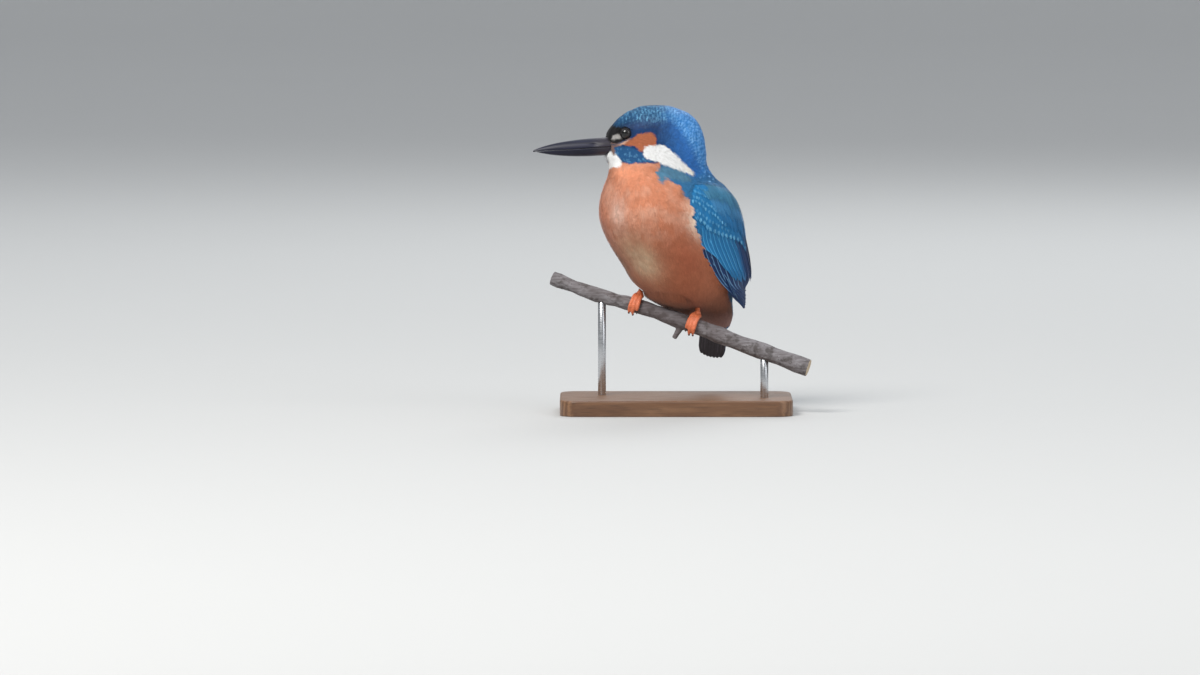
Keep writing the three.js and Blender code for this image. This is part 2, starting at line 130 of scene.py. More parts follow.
def pointsOf(mesh):
    co = np.zeros(len(mesh.vertices) * 3, np.float32)
    mesh.vertices.foreach_get("co", co)
    return co.reshape(-1, 3).astype(float)


def cornersOf(mesh):
    found = np.zeros(len(mesh.loops), np.int32)
    mesh.loops.foreach_get("vertex_index", found)
    return found


def colorLayer(obj, name, colors):
    layer = obj.data.color_attributes.new(name, "FLOAT_COLOR", "POINT")
    rgba = np.ones((len(obj.data.vertices), 4), np.float32)
    rgba[:, :3] = colors
    layer.data.foreach_set("color", rgba.ravel())


def valueLayer(obj, name, values):
    layer = obj.data.attributes.new(name, "FLOAT", "POINT")
    layer.data.foreach_set("value", np.asarray(values, np.float32))


def uvLayer(obj, name, uvPerPoint):
    layer = obj.data.uv_layers.new(name=name)
    layer.data.foreach_set("uv", uvPerPoint[cornersOf(obj.data)].astype(np.float32).ravel())


def evenedOut(points, edges, rounds, share=0.5):
    # evens the surface out: each point moves towards the middle of its neighbours
    count = np.bincount(edges.ravel(), minlength=len(points))[:, None]
    for _ in range(rounds):
        total = np.zeros_like(points)
        np.add.at(total, edges[:, 0], points[edges[:, 1]])
        np.add.at(total, edges[:, 1], points[edges[:, 0]])
        points = points + share * (total / np.maximum(count, 1) - points)
    return points


def remeshed(name, nodes, voxel, grow, rounds):
    # one closed surface round several frame nodes, with the thin cuts between them closed
    bm = bmesh.new()
    for node in nodes:
        bm.from_mesh(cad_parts[node].data)
    bmesh.ops.remove_doubles(bm, verts=bm.verts, dist=1e-6)
    bm.normal_update()
    for v in bm.verts:
        v.co += v.normal * grow
    source = bpy.data.objects.new(name + "Source", bpy.data.meshes.new(name + "Source"))
    bm.to_mesh(source.data)
    bm.free()
    bpy.context.scene.collection.objects.link(source)
    remesh = source.modifiers.new("remesh", "REMESH")
    remesh.mode = "VOXEL"
    remesh.voxel_size = voxel
    done = source.evaluated_get(bpy.context.evaluated_depsgraph_get())
    mesh = bpy.data.meshes.new_from_object(done)
    bpy.data.objects.remove(source)
    edges = np.zeros(len(mesh.edges) * 2, np.int32)
    mesh.edges.foreach_get("vertices", edges)
    points = evenedOut(pointsOf(mesh), edges.reshape(-1, 2), rounds)
    mesh.vertices.foreach_set("co", points.astype(np.float32).ravel())
    mesh.update()
    normals = np.zeros(len(mesh.vertices) * 3, np.float32)
    mesh.vertex_normals.foreach_get("vector", normals)
    normals = normals.reshape(-1, 3).astype(float)
    faces = cornersOf(mesh).reshape(-1, 4)
    bpy.data.meshes.remove(mesh)
    return points - normals * grow, normals, faces


def treeOf(points, faces):
    return BVHTree.FromPolygons([tuple(p) for p in points], [tuple(f) for f in faces.tolist()])


def nodeTree(nodes):
    # search tree over frame nodes, with the node each of its faces comes from
    points, faces, owner = [], [], []
    for number, node in enumerate(nodes):
        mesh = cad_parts[node].data
        mesh.calc_loop_triangles()
        shift = len(points)
        points += [tuple(v.co) for v in mesh.vertices]
        faces += [tuple(i + shift for i in t.vertices) for t in mesh.loop_triangles]
        owner += [number] * len(mesh.loop_triangles)
    return BVHTree.FromPolygons(points, faces), np.array(owner)


def ringFaces(rings, size, loop=False):
    # faces between rings of equal count, and from the last ring to the first where they close a loop
    row, column = np.meshgrid(np.arange(rings if loop else rings - 1), np.arange(size), indexing="ij")
    a, b = (row * size + column).ravel(), (row * size + (column + 1) % size).ravel()
    total = rings * size
    return np.stack([a, b, (b + size) % total, (a + size) % total], axis=1)


def fan(ring, tip, backwards=False):
    # three-sided faces from a closed ring of points to one more point
    following = np.roll(ring, -1)
    first, second = (following, ring) if backwards else (ring, following)
    return np.stack([first, second, np.full(len(ring), tip)], axis=1)


def evenNormals(obj):
    # turns all faces outwards
    bm = bmesh.new()
    bm.from_mesh(obj.data)
    bmesh.ops.recalc_face_normals(bm, faces=bm.faces)
    bm.to_mesh(obj.data)
    bm.free()


# node materials

class Finish:
    # a node material with one Principled shader, built up by short calls
    def __init__(self, name, **settings):
        self.material = bpy.data.materials.new(name)
        self.material.use_nodes = True
        self.tree = self.material.node_tree
        self.shader = self.tree.nodes["Principled BSDF"]
        for key, value in settings.items():
            self.shader.inputs[key.replace("_", " ")].default_value = value

    def add(self, kind, inputs=None, **options):
        node = self.tree.nodes.new(kind)
        for key, value in options.items():
            setattr(node, key, value)
        for key, value in (inputs or {}).items():
            if isinstance(value, bpy.types.NodeSocket):
                self.tree.links.new(value, node.inputs[key])
            else:
                node.inputs[key].default_value = value
        return node

    def math(self, operation, a, b=0.0):
        return self.add("ShaderNodeMath", {0: a, 1: b}, operation=operation).outputs[0]

    def mix(self, factor, a, b):
        node = self.add("ShaderNodeMix", data_type="RGBA", blend_type="MIX")
        for key, value in ((0, factor), (6, a), (7, b)):
            if isinstance(value, bpy.types.NodeSocket):
                self.tree.links.new(value, node.inputs[key])
            elif key == 0:
                node.inputs[key].default_value = value
            else:
                node.inputs[key].default_value = (*value, 1.0)
        return node.outputs[2]

    def ramp(self, factor, low, high, start=0.0, end=1.0):
        # smooth change of a value from low..high into start..end
        node = self.add("ShaderNodeMapRange", {0: factor, 1: low, 2: high, 3: start, 4: end})
        node.interpolation_type = "SMOOTHSTEP"
        return node.outputs[0]

    def layer(self, name, output="Color"):
        return self.add("ShaderNodeAttribute", attribute_name=name).outputs[output]

    def place(self):
        return self.add("ShaderNodeTexCoord").outputs["Object"]

    def noise(self, where, scale, detail=3.0):
        inputs = {"Vector": where, "Scale": scale, "Detail": detail, "Roughness": 0.55}
        return self.add("ShaderNodeTexNoise", inputs).outputs["Fac"]

    def stretched(self, where, scale):
        return self.add("ShaderNodeMapping", {"Vector": where, "Scale": scale}).outputs[0]

    def color(self, socket):
        self.tree.links.new(socket, self.shader.inputs["Base Color"])

    def roughness(self, socket):
        self.tree.links.new(socket, self.shader.inputs["Roughness"])

    def bump(self, height, strength, distance):
        node = self.add("ShaderNodeBump", {"Height": height, "Strength": strength, "Distance": distance})
        self.tree.links.new(node.outputs[0], self.shader.inputs["Normal"])


def dress(obj, finish, slot, *replaced):
    obj.data.materials.clear()
    obj.data.materials.append(finish.material)
    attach(obj, "root")
    if replaced:
        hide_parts(*replaced)
    return obj


# where the bird is, all read from the frame

def middleOf(node):
    low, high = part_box(node)
    return np.array((low + high) / 2)


eyeMiddle = {1: middleOf("eye_left"), -1: middleOf("eye_right")}
headLeft = unit((eyeMiddle[1] - eyeMiddle[-1]) * [1, 1, 0])
headFront = np.cross(headLeft, zAxis)
# the markings of the head are placed from a point just behind and below the eyes
faceForm = {"back": 0.9, "down": 0.6}
faceMiddleAt = ((eyeMiddle[1] + eyeMiddle[-1]) / 2 - headFront * faceForm["back"] * mm
                - zAxis * faceForm["down"] * mm)
bodyLeft = unit((middleOf("wing_left") - middleOf("wing_right")) * [1, 1, 0])
bodyFront = np.cross(bodyLeft, zAxis)

bodyNodes = ["head", "neck", "trunk", "wing_left", "wing_right", "tail"]
legNodes = ["leg_left", "leg_right", "foot_left", "foot_right"]
wingFold = {"start": 74 * mm, "driftX": 0.16, "driftY": 0.3}
bodySlices = {"from": 42, "to": 153, "step": 4, "half": 3.2}


def sliceMiddles():
    # middle of the body's level sections, from foot to crown
    points = np.concatenate([pointsOf(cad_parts[n].data) for n in ("head", "neck", "trunk")])
    heights = np.arange(bodySlices["from"], bodySlices["to"], bodySlices["step"]) * mm
    middles = []
    for z in heights:
        near = points[np.abs(points[:, 2] - z) < bodySlices["half"] * mm]
        across, ahead = near @ bodyLeft, near @ bodyFront
        middles.append((across.max() + across.min()) / 2 * bodyLeft
                       + (ahead.max() + ahead.min()) / 2 * bodyFront)
    return heights, np.array(middles)


sliceHeights, sliceCenters = sliceMiddles()


def axisAt(z):
    x = np.interp(z, sliceHeights, sliceCenters[:, 0])
    y = np.interp(z, sliceHeights, sliceCenters[:, 1])
    return np.stack([x, y, np.asarray(z, float)], axis=-1)


def wingAxisAt(z):
    z = np.asarray(z, float)
    below = np.maximum(0, wingFold["start"] - z)
    center = axisAt(np.maximum(z, wingFold["start"]))
    center[..., 0] += below * wingFold["driftX"]
    center[..., 1] += below * wingFold["driftY"]
    center[..., 2] = z
    return center


def turnRound(points, centers):
    # angle round the body in degrees: 0 at the breast, positive to the bird's left
    away = points - centers
    return np.degrees(np.arctan2(away @ bodyLeft, away @ bodyFront))


# colours of the plumage: one function for skin and feathers

colorOf = {
    "crown": srgb(10, 56, 108),
    "crownTop": srgb(20, 80, 126),
    "napeTop": srgb(58, 138, 212),
    "forehead": srgb(24, 72, 98),
    "nape": srgb(42, 112, 190),
    "crownSpot": srgb(116, 184, 222),
    "napeSpot": srgb(138, 198, 248),
    "malar": srgb(30, 88, 140),
    "ear": srgb(186, 108, 72),
    "gape": srgb(232, 186, 160),
    "gapeShade": srgb(132, 104, 96),
    "lore": srgb(20, 18, 20),
    "loralSpot": srgb(186, 182, 178),
    "white": srgb(254, 254, 252),
    "cream": srgb(248, 236, 216),
    "chin": srgb(254, 254, 252),
    "breast": srgb(210, 136, 102),
    "breastPale": srgb(224, 170, 144),
    "breastHaze": srgb(234, 196, 178),
    # painted highlight: the lit top of the breast
    "breastHighlight": srgb(240, 156, 116),
    # painted shade on the far side of the breast
    "breastSideShade": srgb(176, 98, 72),
    "belly": srgb(188, 114, 82),
    "bellyPale": srgb(222, 190, 156),
    "bellyRed": srgb(182, 100, 70),
    "olive": srgb(142, 106, 76),
    "flankCream": srgb(238, 216, 196),
    # dark rufous of the low belly: partly its own tone, partly painted shade under the body
    "lowBellyAndShade": srgb(116, 76, 60),
    "undertail": srgb(168, 132, 126),
    "shoulder": srgb(66, 132, 168),
    "shoulderPatch": srgb(80, 129, 158),
    "ventPaintedShade": srgb(116, 90, 80),
    "scapular": srgb(62, 132, 182),
    "scapularLow": srgb(34, 114, 170),
    "mantle": srgb(48, 114, 162),
    "backStripe": srgb(30, 160, 218),
    "wing": srgb(22, 118, 176),
    "wingLow": srgb(14, 54, 106),
    "wingSpot": srgb(122, 198, 236),
    "wingEdge": srgb(74, 160, 212),
    "primaryEdge": srgb(112, 162, 206),
    "tailAbove": srgb(18, 62, 116),
    "tailBelow": srgb(74, 73, 80),
}


def headPlace(points):
    # how far back, up and out from the middle line each point lies, in mm
    p = (points - faceMiddleAt) / mm
    return -(p @ headFront), p[:, 2], np.abs(p @ headLeft)


def insideCapsule(back, up, a, ra, b, rb):
    # how far inside a tapering rounded bar each place lies, in mm
    d = np.array(b, float) - np.array(a, float)
    t = np.clip(((back - a[0]) * d[0] + (up - a[1]) * d[1]) / (d @ d), 0, 1)
    away = np.hypot(back - a[0] - d[0] * t, up - a[1] - d[1] * t)
    return ra + (rb - ra) * t - away


# turn from the breast, in degrees, at which orange meets blue at each height
blueEdge = {"z": [36, 45, 60, 74, 98, 103, 108, 113, 118, 126],
            "turn": [127, 131, 125, 98, 92, 80, 70, 68, 54, 50], "allBlueFrom": 125, "slope": 0.5}
# patches of the head as tapering bars: place back and up with its radius, at one end and the other
earPatch = [((-1.2, -4.8), 0.7, (7.2, -2.7), 3.3), ((7.2, -2.7), 3.3, (11.0, -2.5), 3.4),
            ((6.6, -4.6), 2.9, (7.4, -7.2), 1.5), ((9.0, -4.2), 2.6, (12.4, -4.4), 2.0)]
malarStripe = [((-3.6, -9.2), 2.9, (0.8, -10.7), 4.3), ((0.8, -10.7), 4.3, (6.6, -11.9), 2.6),
               ((6.6, -11.9), 2.5, (11.8, -13.3), 0.9)]
chinPatch = [((-13.4, -10.6), 2.2, (-7.4, -11.6), 2.5), ((-7.4, -11.6), 2.5, (-5.4, -14.6), 2.7),
             ((-5.6, -14.2), 2.4, (-8.8, -17.4), 1.0)]
neckPatch = [((11.8, -9.2), 3.7, (16.6, -9.9), 4.6), ((16.6, -9.9), 4.6, (24.2, -15.0), 2.9),
             ((24.2, -15.0), 2.9, (32.2, -20.4), 0.8)]
farNeckPatch = [((31.5, -19.6), 1.8, (39.5, -18.0), 1.8)]
shoulderPatch = [((17.6, -19.6), 2.9, (24.0, -20.8), 3.2), ((24.0, -20.8), 3.2, (30.0, -23.0), 1.7),
                 ((17.6, -20.0), 2.7, (17.4, -22.6), 2.3)]
gapeStreak = [((-5.8, -6.1), 0.5, (-1.4, -4.3), 0.65), ((-1.4, -4.3), 0.6, (1.2, -1.9), 0.35)]
loreMask = [((-10.4, 1.8), 4.8, (-6.4, 0.4), 4.2), ((-6.4, 0.6), 3.9, (-1.2, 0.6), 2.7),
            ((-8.4, -1.6), 2.4, (-5.0, -2.0), 2.5), ((-5.0, -2.0), 2.4, (-0.5, -0.2), 2.3)]
loralSpot = [((-5.7, -1.5), 1.05, (-4.3, -1.1), 1.3)]
gapeShade = [((-7.2, -6.6), 1.2, (-6.1, -10.4), 0.6), ((-9.8, -4.6), 1.3, (-3.6, -3.4), 0.8)]
# soft patches of another tone on the under parts: height, turn, their spreads, colour and strength. The
# lighter patch on the top of the breast is a painted highlight, and the darker patch on its far side is
# painted shade
bodyTones = [(119, 4, 6, 24, "breastHighlight", 0.65), (108, -12, 6, 9, "breastPale", 0.6),
             (100, 4, 8, 10, "breastHaze", 0.75), (95, -20, 12, 8, "breastSideShade", 0.6),
             (77, 11, 10, 17, "bellyPale", 1.0), (71, -25, 10, 11, "olive", 0.7),
             (76, 56, 15, 18, "bellyRed", 0.6), (95, 75, 7, 8, "flankCream", 1.2),
             (109, 67, 2.4, 3.2, "lowBellyAndShade", 0.7)]
bothSidesFrom = 40  # a tone at a wider turn than this is on both flanks
# where one tone runs into the next: heights in mm, turns in degrees, or places on the head in mm
fades = {"breast": (82, 104), "mottle": (78, 96), "lowBellyAndShade": (46, 64), "undertail": (42, 50),
         "backStripe": (152, 166), "forehead": (-10, 4), "nape": (14, 30), "head": (114, 121),
         "cream": (24, 36), "gape": (-5.0, -1.8), "chinSide": (9, 13), "wing": (76, 86)}
# lower edge of the bright crown, and front edge of the bright nape
crownLine = {"back": [-5, 7.7, 22.4], "up": [3.4, 4.4, 4.4], "end": 22.4, "soft": 4.5}
napeLine = {"up": [-18, -8.4, 1.1, 5.7], "back": [34.2, 30.4, 24.8, 21.0]}
mottles = [(7, 1, 0.5, 6), (2.6, 1, 0.5, 7), (1.1, 0.4, 0.25, 19)]
streaks = [(1.5, 0.45, 0.6, 20), (4, 1, 0.4, 21)]
mottling = {"least": 0.22, "gain": 0.9, "most": 0.8, "onTones": 0.5, "streaks": 0.13}
# edges of the head's patches: softness and waviness in mm, and where patches may begin
patchForm = {"soft": 0.35, "wave": 0.25, "waveSize": 1.8, "headFrom": 104, "fromMiddle": 2.0}
softerEdges = {"shoulderPatch": 1.1, "loralSpot": 0.8}
chinMiddle = {"wider": 2.4, "side": (0.6, 3.4), "up": (-13, -10)}
farNeckTaper = {"narrower": 1.7, "right": (0, 9.5), "from": -0.6}


def patch(back, up, bars):
    return np.max([insideCapsule(back, up, *bar) for bar in bars], axis=0)


def blueSide(points):
    # above zero where the upper parts are blue, below zero on the orange under parts
    z = points[:, 2] / mm
    turn = np.abs(turnRound(points, axisAt(points[:, 2])))
    return np.maximum(z - blueEdge["allBlueFrom"],
                      (turn - np.interp(z, blueEdge["z"], blueEdge["turn"])) * blueEdge["slope"])


def crownRise(points):
    # from 0 at the plain band behind the eye to 1 on the top of the crown and down the nape
    back, up, _ = headPlace(points)
    above = up - np.interp(back, crownLine["back"], crownLine["up"])
    behind = back - np.interp(up, napeLine["up"], napeLine["back"])
    inside = np.where(back < crownLine["end"], above, np.maximum(above, behind))
    return smoothStep(inside, 0.0, crownLine["soft"])


def fade(values, name):
    return smoothStep(values, *fades[name])


def underTones(points, z, signed, turn):
    under = blend(colorOf["belly"], colorOf["breast"], fade(z, "breast"))
    mottle = layeredNoise(points, mottles)
    pale = np.clip(mottling["least"] + mottling["gain"] * mottle, 0, mottling["most"])
    under = blend(under, colorOf["breastPale"], pale * fade(z, "mottle"))
    for height, at, high, wide, name, strength in bodyTones:
        off = (turn if at > bothSidesFrom else signed) - at
        share = np.exp(-((z - height) / high) ** 2 - (off / wide) ** 2) * (1 + mottling["onTones"] * mottle)
        under = blend(under, colorOf[name], np.clip(strength * share, 0, 1))
    # the belly darkens towards the bottom: partly its own tone, partly painted shade
    under = blend(under, colorOf["lowBellyAndShade"], 1 - fade(z, "lowBellyAndShade"))
    under = blend(under, colorOf["undertail"], 1 - fade(z, "undertail"))
    return under * (1 + mottling["streaks"] * layeredNoise(points, streaks))[:, None]


def upperTones(points, z, back, turn):
    above = blend(colorOf["mantle"], colorOf["backStripe"], fade(turn, "backStripe"))
    rise = crownRise(points)
    overHead = blend(colorOf["crown"], colorOf["forehead"], 1 - fade(back, "forehead"))
    overHead = blend(overHead, colorOf["crownTop"], rise)
    overNape = blend(colorOf["nape"], colorOf["napeTop"], rise)
    return blend(above, blend(overHead, overNape, fade(back, "nape")), fade(z, "head"))


def markings(points):
    # colour of the plumage at each place
    z = points[:, 2] / mm
    back, up, side = headPlace(points)
    signed = turnRound(points, axisAt(points[:, 2]))
    turn = np.abs(signed)
    wave = softNoise(points, patchForm["waveSize"] * mm, 3) * patchForm["wave"]

    def cover(inside, edge=patchForm["soft"]):
        return smoothStep(inside + wave * edge / patchForm["soft"], -edge, edge)

    out = blend(underTones(points, z, signed, turn), upperTones(points, z, back, turn),
                cover(blueSide(points)))
    onHead = z > patchForm["headFrom"]
    for bars, name in ((shoulderPatch, "shoulderPatch"), (malarStripe, "malar"), (chinPatch, "chin"),
                       (gapeShade, "gapeShade"), (earPatch, "ear"), (neckPatch, "white"),
                       (farNeckPatch, "white"),
                       (loreMask, "lore"), (gapeStreak, "gape"), (loralSpot, "loralSpot")):
        tint = colorOf[name]
        if name == "white":
            tint = blend(colorOf["white"], colorOf["cream"], fade(back, "cream"))
        if name == "gape":
            tint = blend(colorOf["gapeShade"], colorOf["gape"], fade(back, "gape"))
        inside = patch(back, up, bars)
        if name == "chin":
            # the chin patch stays near the middle line and is widest there
            middle = chinMiddle["wider"] * (1 - smoothStep(side, *chinMiddle["side"])) * smoothStep(
                up, *chinMiddle["up"])
            share = cover(inside + middle) * (1 - fade(side, "chinSide"))
        elif bars is farNeckPatch:
            # this one narrows towards the middle of the nape
            toRight = -((points - faceMiddleAt) @ headLeft) / mm
            narrower = farNeckTaper["narrower"] * (1 - smoothStep(toRight, *farNeckTaper["right"]))
            share = cover(inside - narrower) * (toRight > farNeckTaper["from"])
        elif name in softerEdges:
            share = cover(inside, softerEdges[name])
        else:
            share = cover(inside) * ((side > patchForm["fromMiddle"]) | (name == "lore"))
        out = blend(out, tint, share * onHead)
    return out


def wingShade(points):
    # dark under the flight feathers, blue under the coverts
    return blend(colorOf["wingLow"], colorOf["wing"], fade(points[:, 2] / mm, "wing"))


# the skin: one surface inside the frame's head, neck, trunk, wings, tail, legs and feet

skinSizes = {"voxel": 0.8 * mm, "footVoxel": 0.26 * mm, "grow": 0.24 * mm, "footGrow": 0.8, "rounds": 5,
             "footRounds": 3, "depthRounds": 8, "skinRounds": 2, "shade": 0.8}
coatDepth = {"face": 0.45, "crown": 0.9, "neck": 1.0, "shoulder": 1.2, "breast": 1.3, "belly": 1.4,
             "wing": 1.0, "tail": 0.45}
depthLevels = {"z": [40, 60, 100, 112, 122, 130],
               "part": ["breast", "belly", "breast", "shoulder", "neck", "crown"]}
shallowFace = {"z": (118, 124), "back": (3, 13), "up": (3, 9)}
inwardLook = {"start": 0.05, "reach": 0.03, "open": 0.05, "share": 0.3}

wingNumbers = [bodyNodes.index(node) for node in ("wing_left", "wing_right")]
torsoNumbers = [bodyNodes.index(node) for node in ("head", "neck", "trunk")]
cadTree, cadOwner = nodeTree(bodyNodes)
surface, outward, skinFaces = remeshed("body", bodyNodes, skinSizes["voxel"], skinSizes["grow"],
                                       skinSizes["rounds"])
owners = np.array([cadOwner[cadTree.find_nearest(Vector(p))[2]] for p in surface])
onWing = np.isin(owners, wingNumbers)
onTail = owners == bodyNodes.index("tail")


def depthAt(points, wing, isTail):
    # how deep the skin lies under the frame's surface
    z = points[:, 2] / mm
    back, up, _ = headPlace(points)
    depth = np.interp(z, depthLevels["z"], [coatDepth[part] for part in depthLevels["part"]])
    face = smoothStep(z, *shallowFace["z"]) * (1 - smoothStep(back, *shallowFace["back"])) * (
        1 - smoothStep(up, *shallowFace["up"]))
    depth = depth + (coatDepth["face"] - depth) * face
    depth = np.where(wing, coatDepth["wing"], depth)
    return np.where(isTail, coatDepth["tail"], depth) * mm


def thicknessAt(points, normals, tree):
    # how thick the body is straight in from each point
    found = np.full(len(points), inwardLook["open"])
    for i, (p, n) in enumerate(zip(points, normals)):
        hit = tree.ray_cast(Vector(p - n * inwardLook["start"] * mm), Vector(-n), inwardLook["reach"])
        if hit[0] is not None:
            found[i] = hit[3]
    return found


thickness = thicknessAt(surface, outward, treeOf(surface, skinFaces))
depth = np.minimum(depthAt(surface, onWing, onTail), inwardLook["share"] * thickness)
quadSides = np.concatenate([skinFaces[:, [k, (k + 1) % 4]] for k in range(4)])
skinEdges = np.unique(np.sort(quadSides, axis=1), axis=0)
depth = evenedOut(depth[:, None], skinEdges, skinSizes["depthRounds"])[:, 0]
skinPoints = evenedOut(surface - outward * depth[:, None], skinEdges, skinSizes["skinRounds"])

eyeFacing = {"ahead": 0.434, "aside": 0.9, "up": 0.04}


def eyeAxes(side):
    out = unit(headFront * eyeFacing["ahead"] + headLeft * side * eyeFacing["aside"]
               + zAxis * eyeFacing["up"])
    across = unit(np.cross(zAxis, out))
    return out, across, np.cross(out, across)


# the skin round each eye rises to the lids and runs out softly
browForm = {"height": 1.42 * mm, "inner": 2.7 * mm, "foot": 5.4 * mm, "edge": 0.2 * mm, "behind": 1.5 * mm}
for side in (1, -1):
    out = eyeAxes(side)[0]
    away = skinPoints - eyeMiddle[side]
    ahead = away @ out
    aside = np.linalg.norm(away - ahead[:, None] * out, axis=1)
    share = 1 - smoothStep(aside, browForm["inner"], browForm["foot"])
    share = share * (aside > browForm["inner"] - browForm["edge"])
    lift = np.maximum(browForm["height"] - ahead, 0) * share * (ahead > -browForm["behind"])
    skinPoints = skinPoints + lift[:, None] * out
skinTree = treeOf(skinPoints, skinFaces)
print("skin:", len(skinPoints), "points")

# centre line of the perch, read from its slices, for the scutes of the toes that wrap it
perchRead = {"from": -60, "to": 66, "step": 4, "half": 3.5, "deep": 12}
perchPoints = pointsOf(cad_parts["perch"].data)
perchSlices = np.arange(perchRead["from"], perchRead["to"], perchRead["step"]) * mm


def perchMiddles():
    found = []
    for x in perchSlices:
        near = perchPoints[np.abs(perchPoints[:, 0] - x) < perchRead["half"] * mm]
        top = near[:, 2].max()
        near = near[near[:, 2] > top - perchRead["deep"] * mm]
        found.append([(near[:, 1].max() + near[:, 1].min()) / 2, np.median(near[:, 2])])
    return np.array(found)


perchLine = perchMiddles()
scuteForm = {"toeReach": 7.6, "toeRadius": 5.0, "toeGap": 0.85, "shankGap": 1.1, "depth": 0.11,
             "grainSize": 0.6, "grain": 0.03}
footTone = {"color": srgb(216, 116, 76), "uneven": 0.16, "unevenSize": 1.4}


def scutes(points, normals):
    # shallow rings across toes and shanks
    y = np.interp(points[:, 0], perchSlices, perchLine[:, 0])
    z = np.interp(points[:, 0], perchSlices, perchLine[:, 1])
    turn = np.arctan2(y - points[:, 1], points[:, 2] - z)
    reach = np.hypot(y - points[:, 1], points[:, 2] - z)
    onToe = reach < scuteForm["toeReach"] * mm
    rings = np.where(onToe, turn * scuteForm["toeRadius"] / scuteForm["toeGap"],
                     points[:, 2] / mm / scuteForm["shankGap"])
    groove = np.abs(np.sin(rings * math.pi)) ** 0.5
    rough = softNoise(points, scuteForm["grainSize"] * mm, 5) * scuteForm["grain"] * mm
    return points - normals * ((1 - groove) * scuteForm["depth"] * mm + rough)[:, None]


footPoints, footFaces = [], []
for side in ("left", "right"):
    p, n, f = remeshed("foot", ["leg_" + side, "foot_" + side], skinSizes["footVoxel"],
                       skinSizes["grow"] * skinSizes["footGrow"], skinSizes["footRounds"])
    footFaces.append(f + sum(len(q) for q in footPoints))
    footPoints.append(scutes(p, n))
footPoints = np.concatenate(footPoints)
footFaces = np.concatenate(footFaces)
print("feet:", len(footPoints), "points")

skinColor = np.where(onWing[:, None], wingShade(skinPoints), markings(skinPoints))
# painted shade: the skin's colour is darkened where the coat of feathers covers it
skinColor = np.where(onTail[:, None], colorOf["tailBelow"], skinColor) * skinSizes["shade"]
skin = meshObject("skin", np.concatenate([skinPoints, footPoints]), [skinFaces, footFaces + len(skinPoints)])
footColor = np.tile(footTone["color"], (len(footPoints), 1))
footColor = footColor * (1 + footTone["uneven"]
                         * softNoise(footPoints, footTone["unevenSize"] * mm, 8))[:, None]
colorLayer(skin, "plumage", np.concatenate([skinColor, footColor]))


def unwrapSkin(obj):
    # unwraps the skin and gives the middle of each of its faces on that map
    bpy.context.view_layer.objects.active = obj
    obj.select_set(True)
    bpy.ops.object.mode_set(mode="EDIT")
    bpy.ops.mesh.select_all(action="SELECT")
    bpy.ops.uv.smart_project(angle_limit=math.radians(66), island_margin=0.002)
    bpy.ops.object.mode_set(mode="OBJECT")
    obj.select_set(False)
    obj.data.uv_layers[0].name = "OFBake"
    uv = np.zeros(len(obj.data.loops) * 2, np.float32)
    obj.data.uv_layers[0].data.foreach_get("uv", uv)
    return uv.reshape(-1, 4, 2).mean(axis=1)


skinUv = unwrapSkin(skin)
print("skin unwrapped")

skinFinish = Finish("skinUnderFeathers", Roughness=0.8)
grain = skinFinish.noise(skinFinish.place(), 900.0)
skinFinish.color(skinFinish.mix(skinFinish.ramp(grain, 0.3, 0.7, 0.75, 1.0), (0.02, 0.02, 0.02),
                                skinFinish.layer("plumage")))
skinFinish.bump(grain, 0.3, 0.0002)

footFinish = Finish("footSkin", Roughness=0.42)
where = footFinish.place()
scaleCells = footFinish.add("ShaderNodeTexVoronoi", {"Vector": where, "Scale": 1500.0},
                            feature="DISTANCE_TO_EDGE").outputs["Distance"]
creases = footFinish.ramp(scaleCells, 0.0, 0.12)
footFinish.color(footFinish.mix(footFinish.ramp(creases, 0, 1, 0.72, 1.0), (0.22, 0.035, 0.015),
                                footFinish.layer("plumage")))
footFinish.roughness(footFinish.ramp(footFinish.noise(where, 1200.0), 0.3, 0.7, 0.36, 0.52))
footFinish.bump(creases, 0.35, 0.00012)

dress(skin, skinFinish, "breast_plumage", *bodyNodes, *legNodes)
skin.data.materials.append(footFinish.material)
slots = np.zeros(len(skin.data.polygons), np.int32)
slots[len(skinFaces):] = 1
skin.data.polygons.foreach_set("material_index", slots)

# the feather maker

scatterForm = {"tries": 5, "nearest": 0.8}


def rootsOver(rng, spacing, chosen):
    # evenly scattered places on the chosen skin faces, no two nearer than the spacing
    faces = np.flatnonzero(chosen)
    quads = skinPoints[skinFaces[faces]]
    areas = np.linalg.norm(np.cross(quads[:, 2] - quads[:, 0], quads[:, 3] - quads[:, 1]), axis=1) / 2
    tries = int(areas.sum() / spacing ** 2 * scatterForm["tries"])
    picked = rng.choice(len(faces), tries, p=areas / areas.sum())
    s, t = rng.random(tries)[:, None], rng.random(tries)[:, None]
    quad = quads[picked]
    places = (quad[:, 0] * (1 - s) + quad[:, 1] * s) * (1 - t) + (quad[:, 3] * (1 - s) + quad[:, 2] * s) * t
    cells, kept = {}, []
    limit = (spacing * scatterForm["nearest"]) ** 2
    keys = np.floor(places / spacing).astype(int)
    around = [(i, j, k) for i in (-1, 0, 1) for j in (-1, 0, 1) for k in (-1, 0, 1)]
    for number, (place, key) in enumerate(zip(places.tolist(), keys.tolist())):
        free = True
        for i, j, k in around:
            for other in cells.get((key[0] + i, key[1] + j, key[2] + k), ()):
                if sum((a - b) ** 2 for a, b in zip(place, other)) < limit:
                    free = False
                    break
            if not free:
                break
        if free:
            cells.setdefault(tuple(key), []).append(place)
            kept.append(number)
    return places[kept]


flow = {"droop": 0.25, "behindDroop": 0.5, "behind": (8, 26), "down": [0.27, 0.3, -0.92],
        "fromBill": (108, 124)}


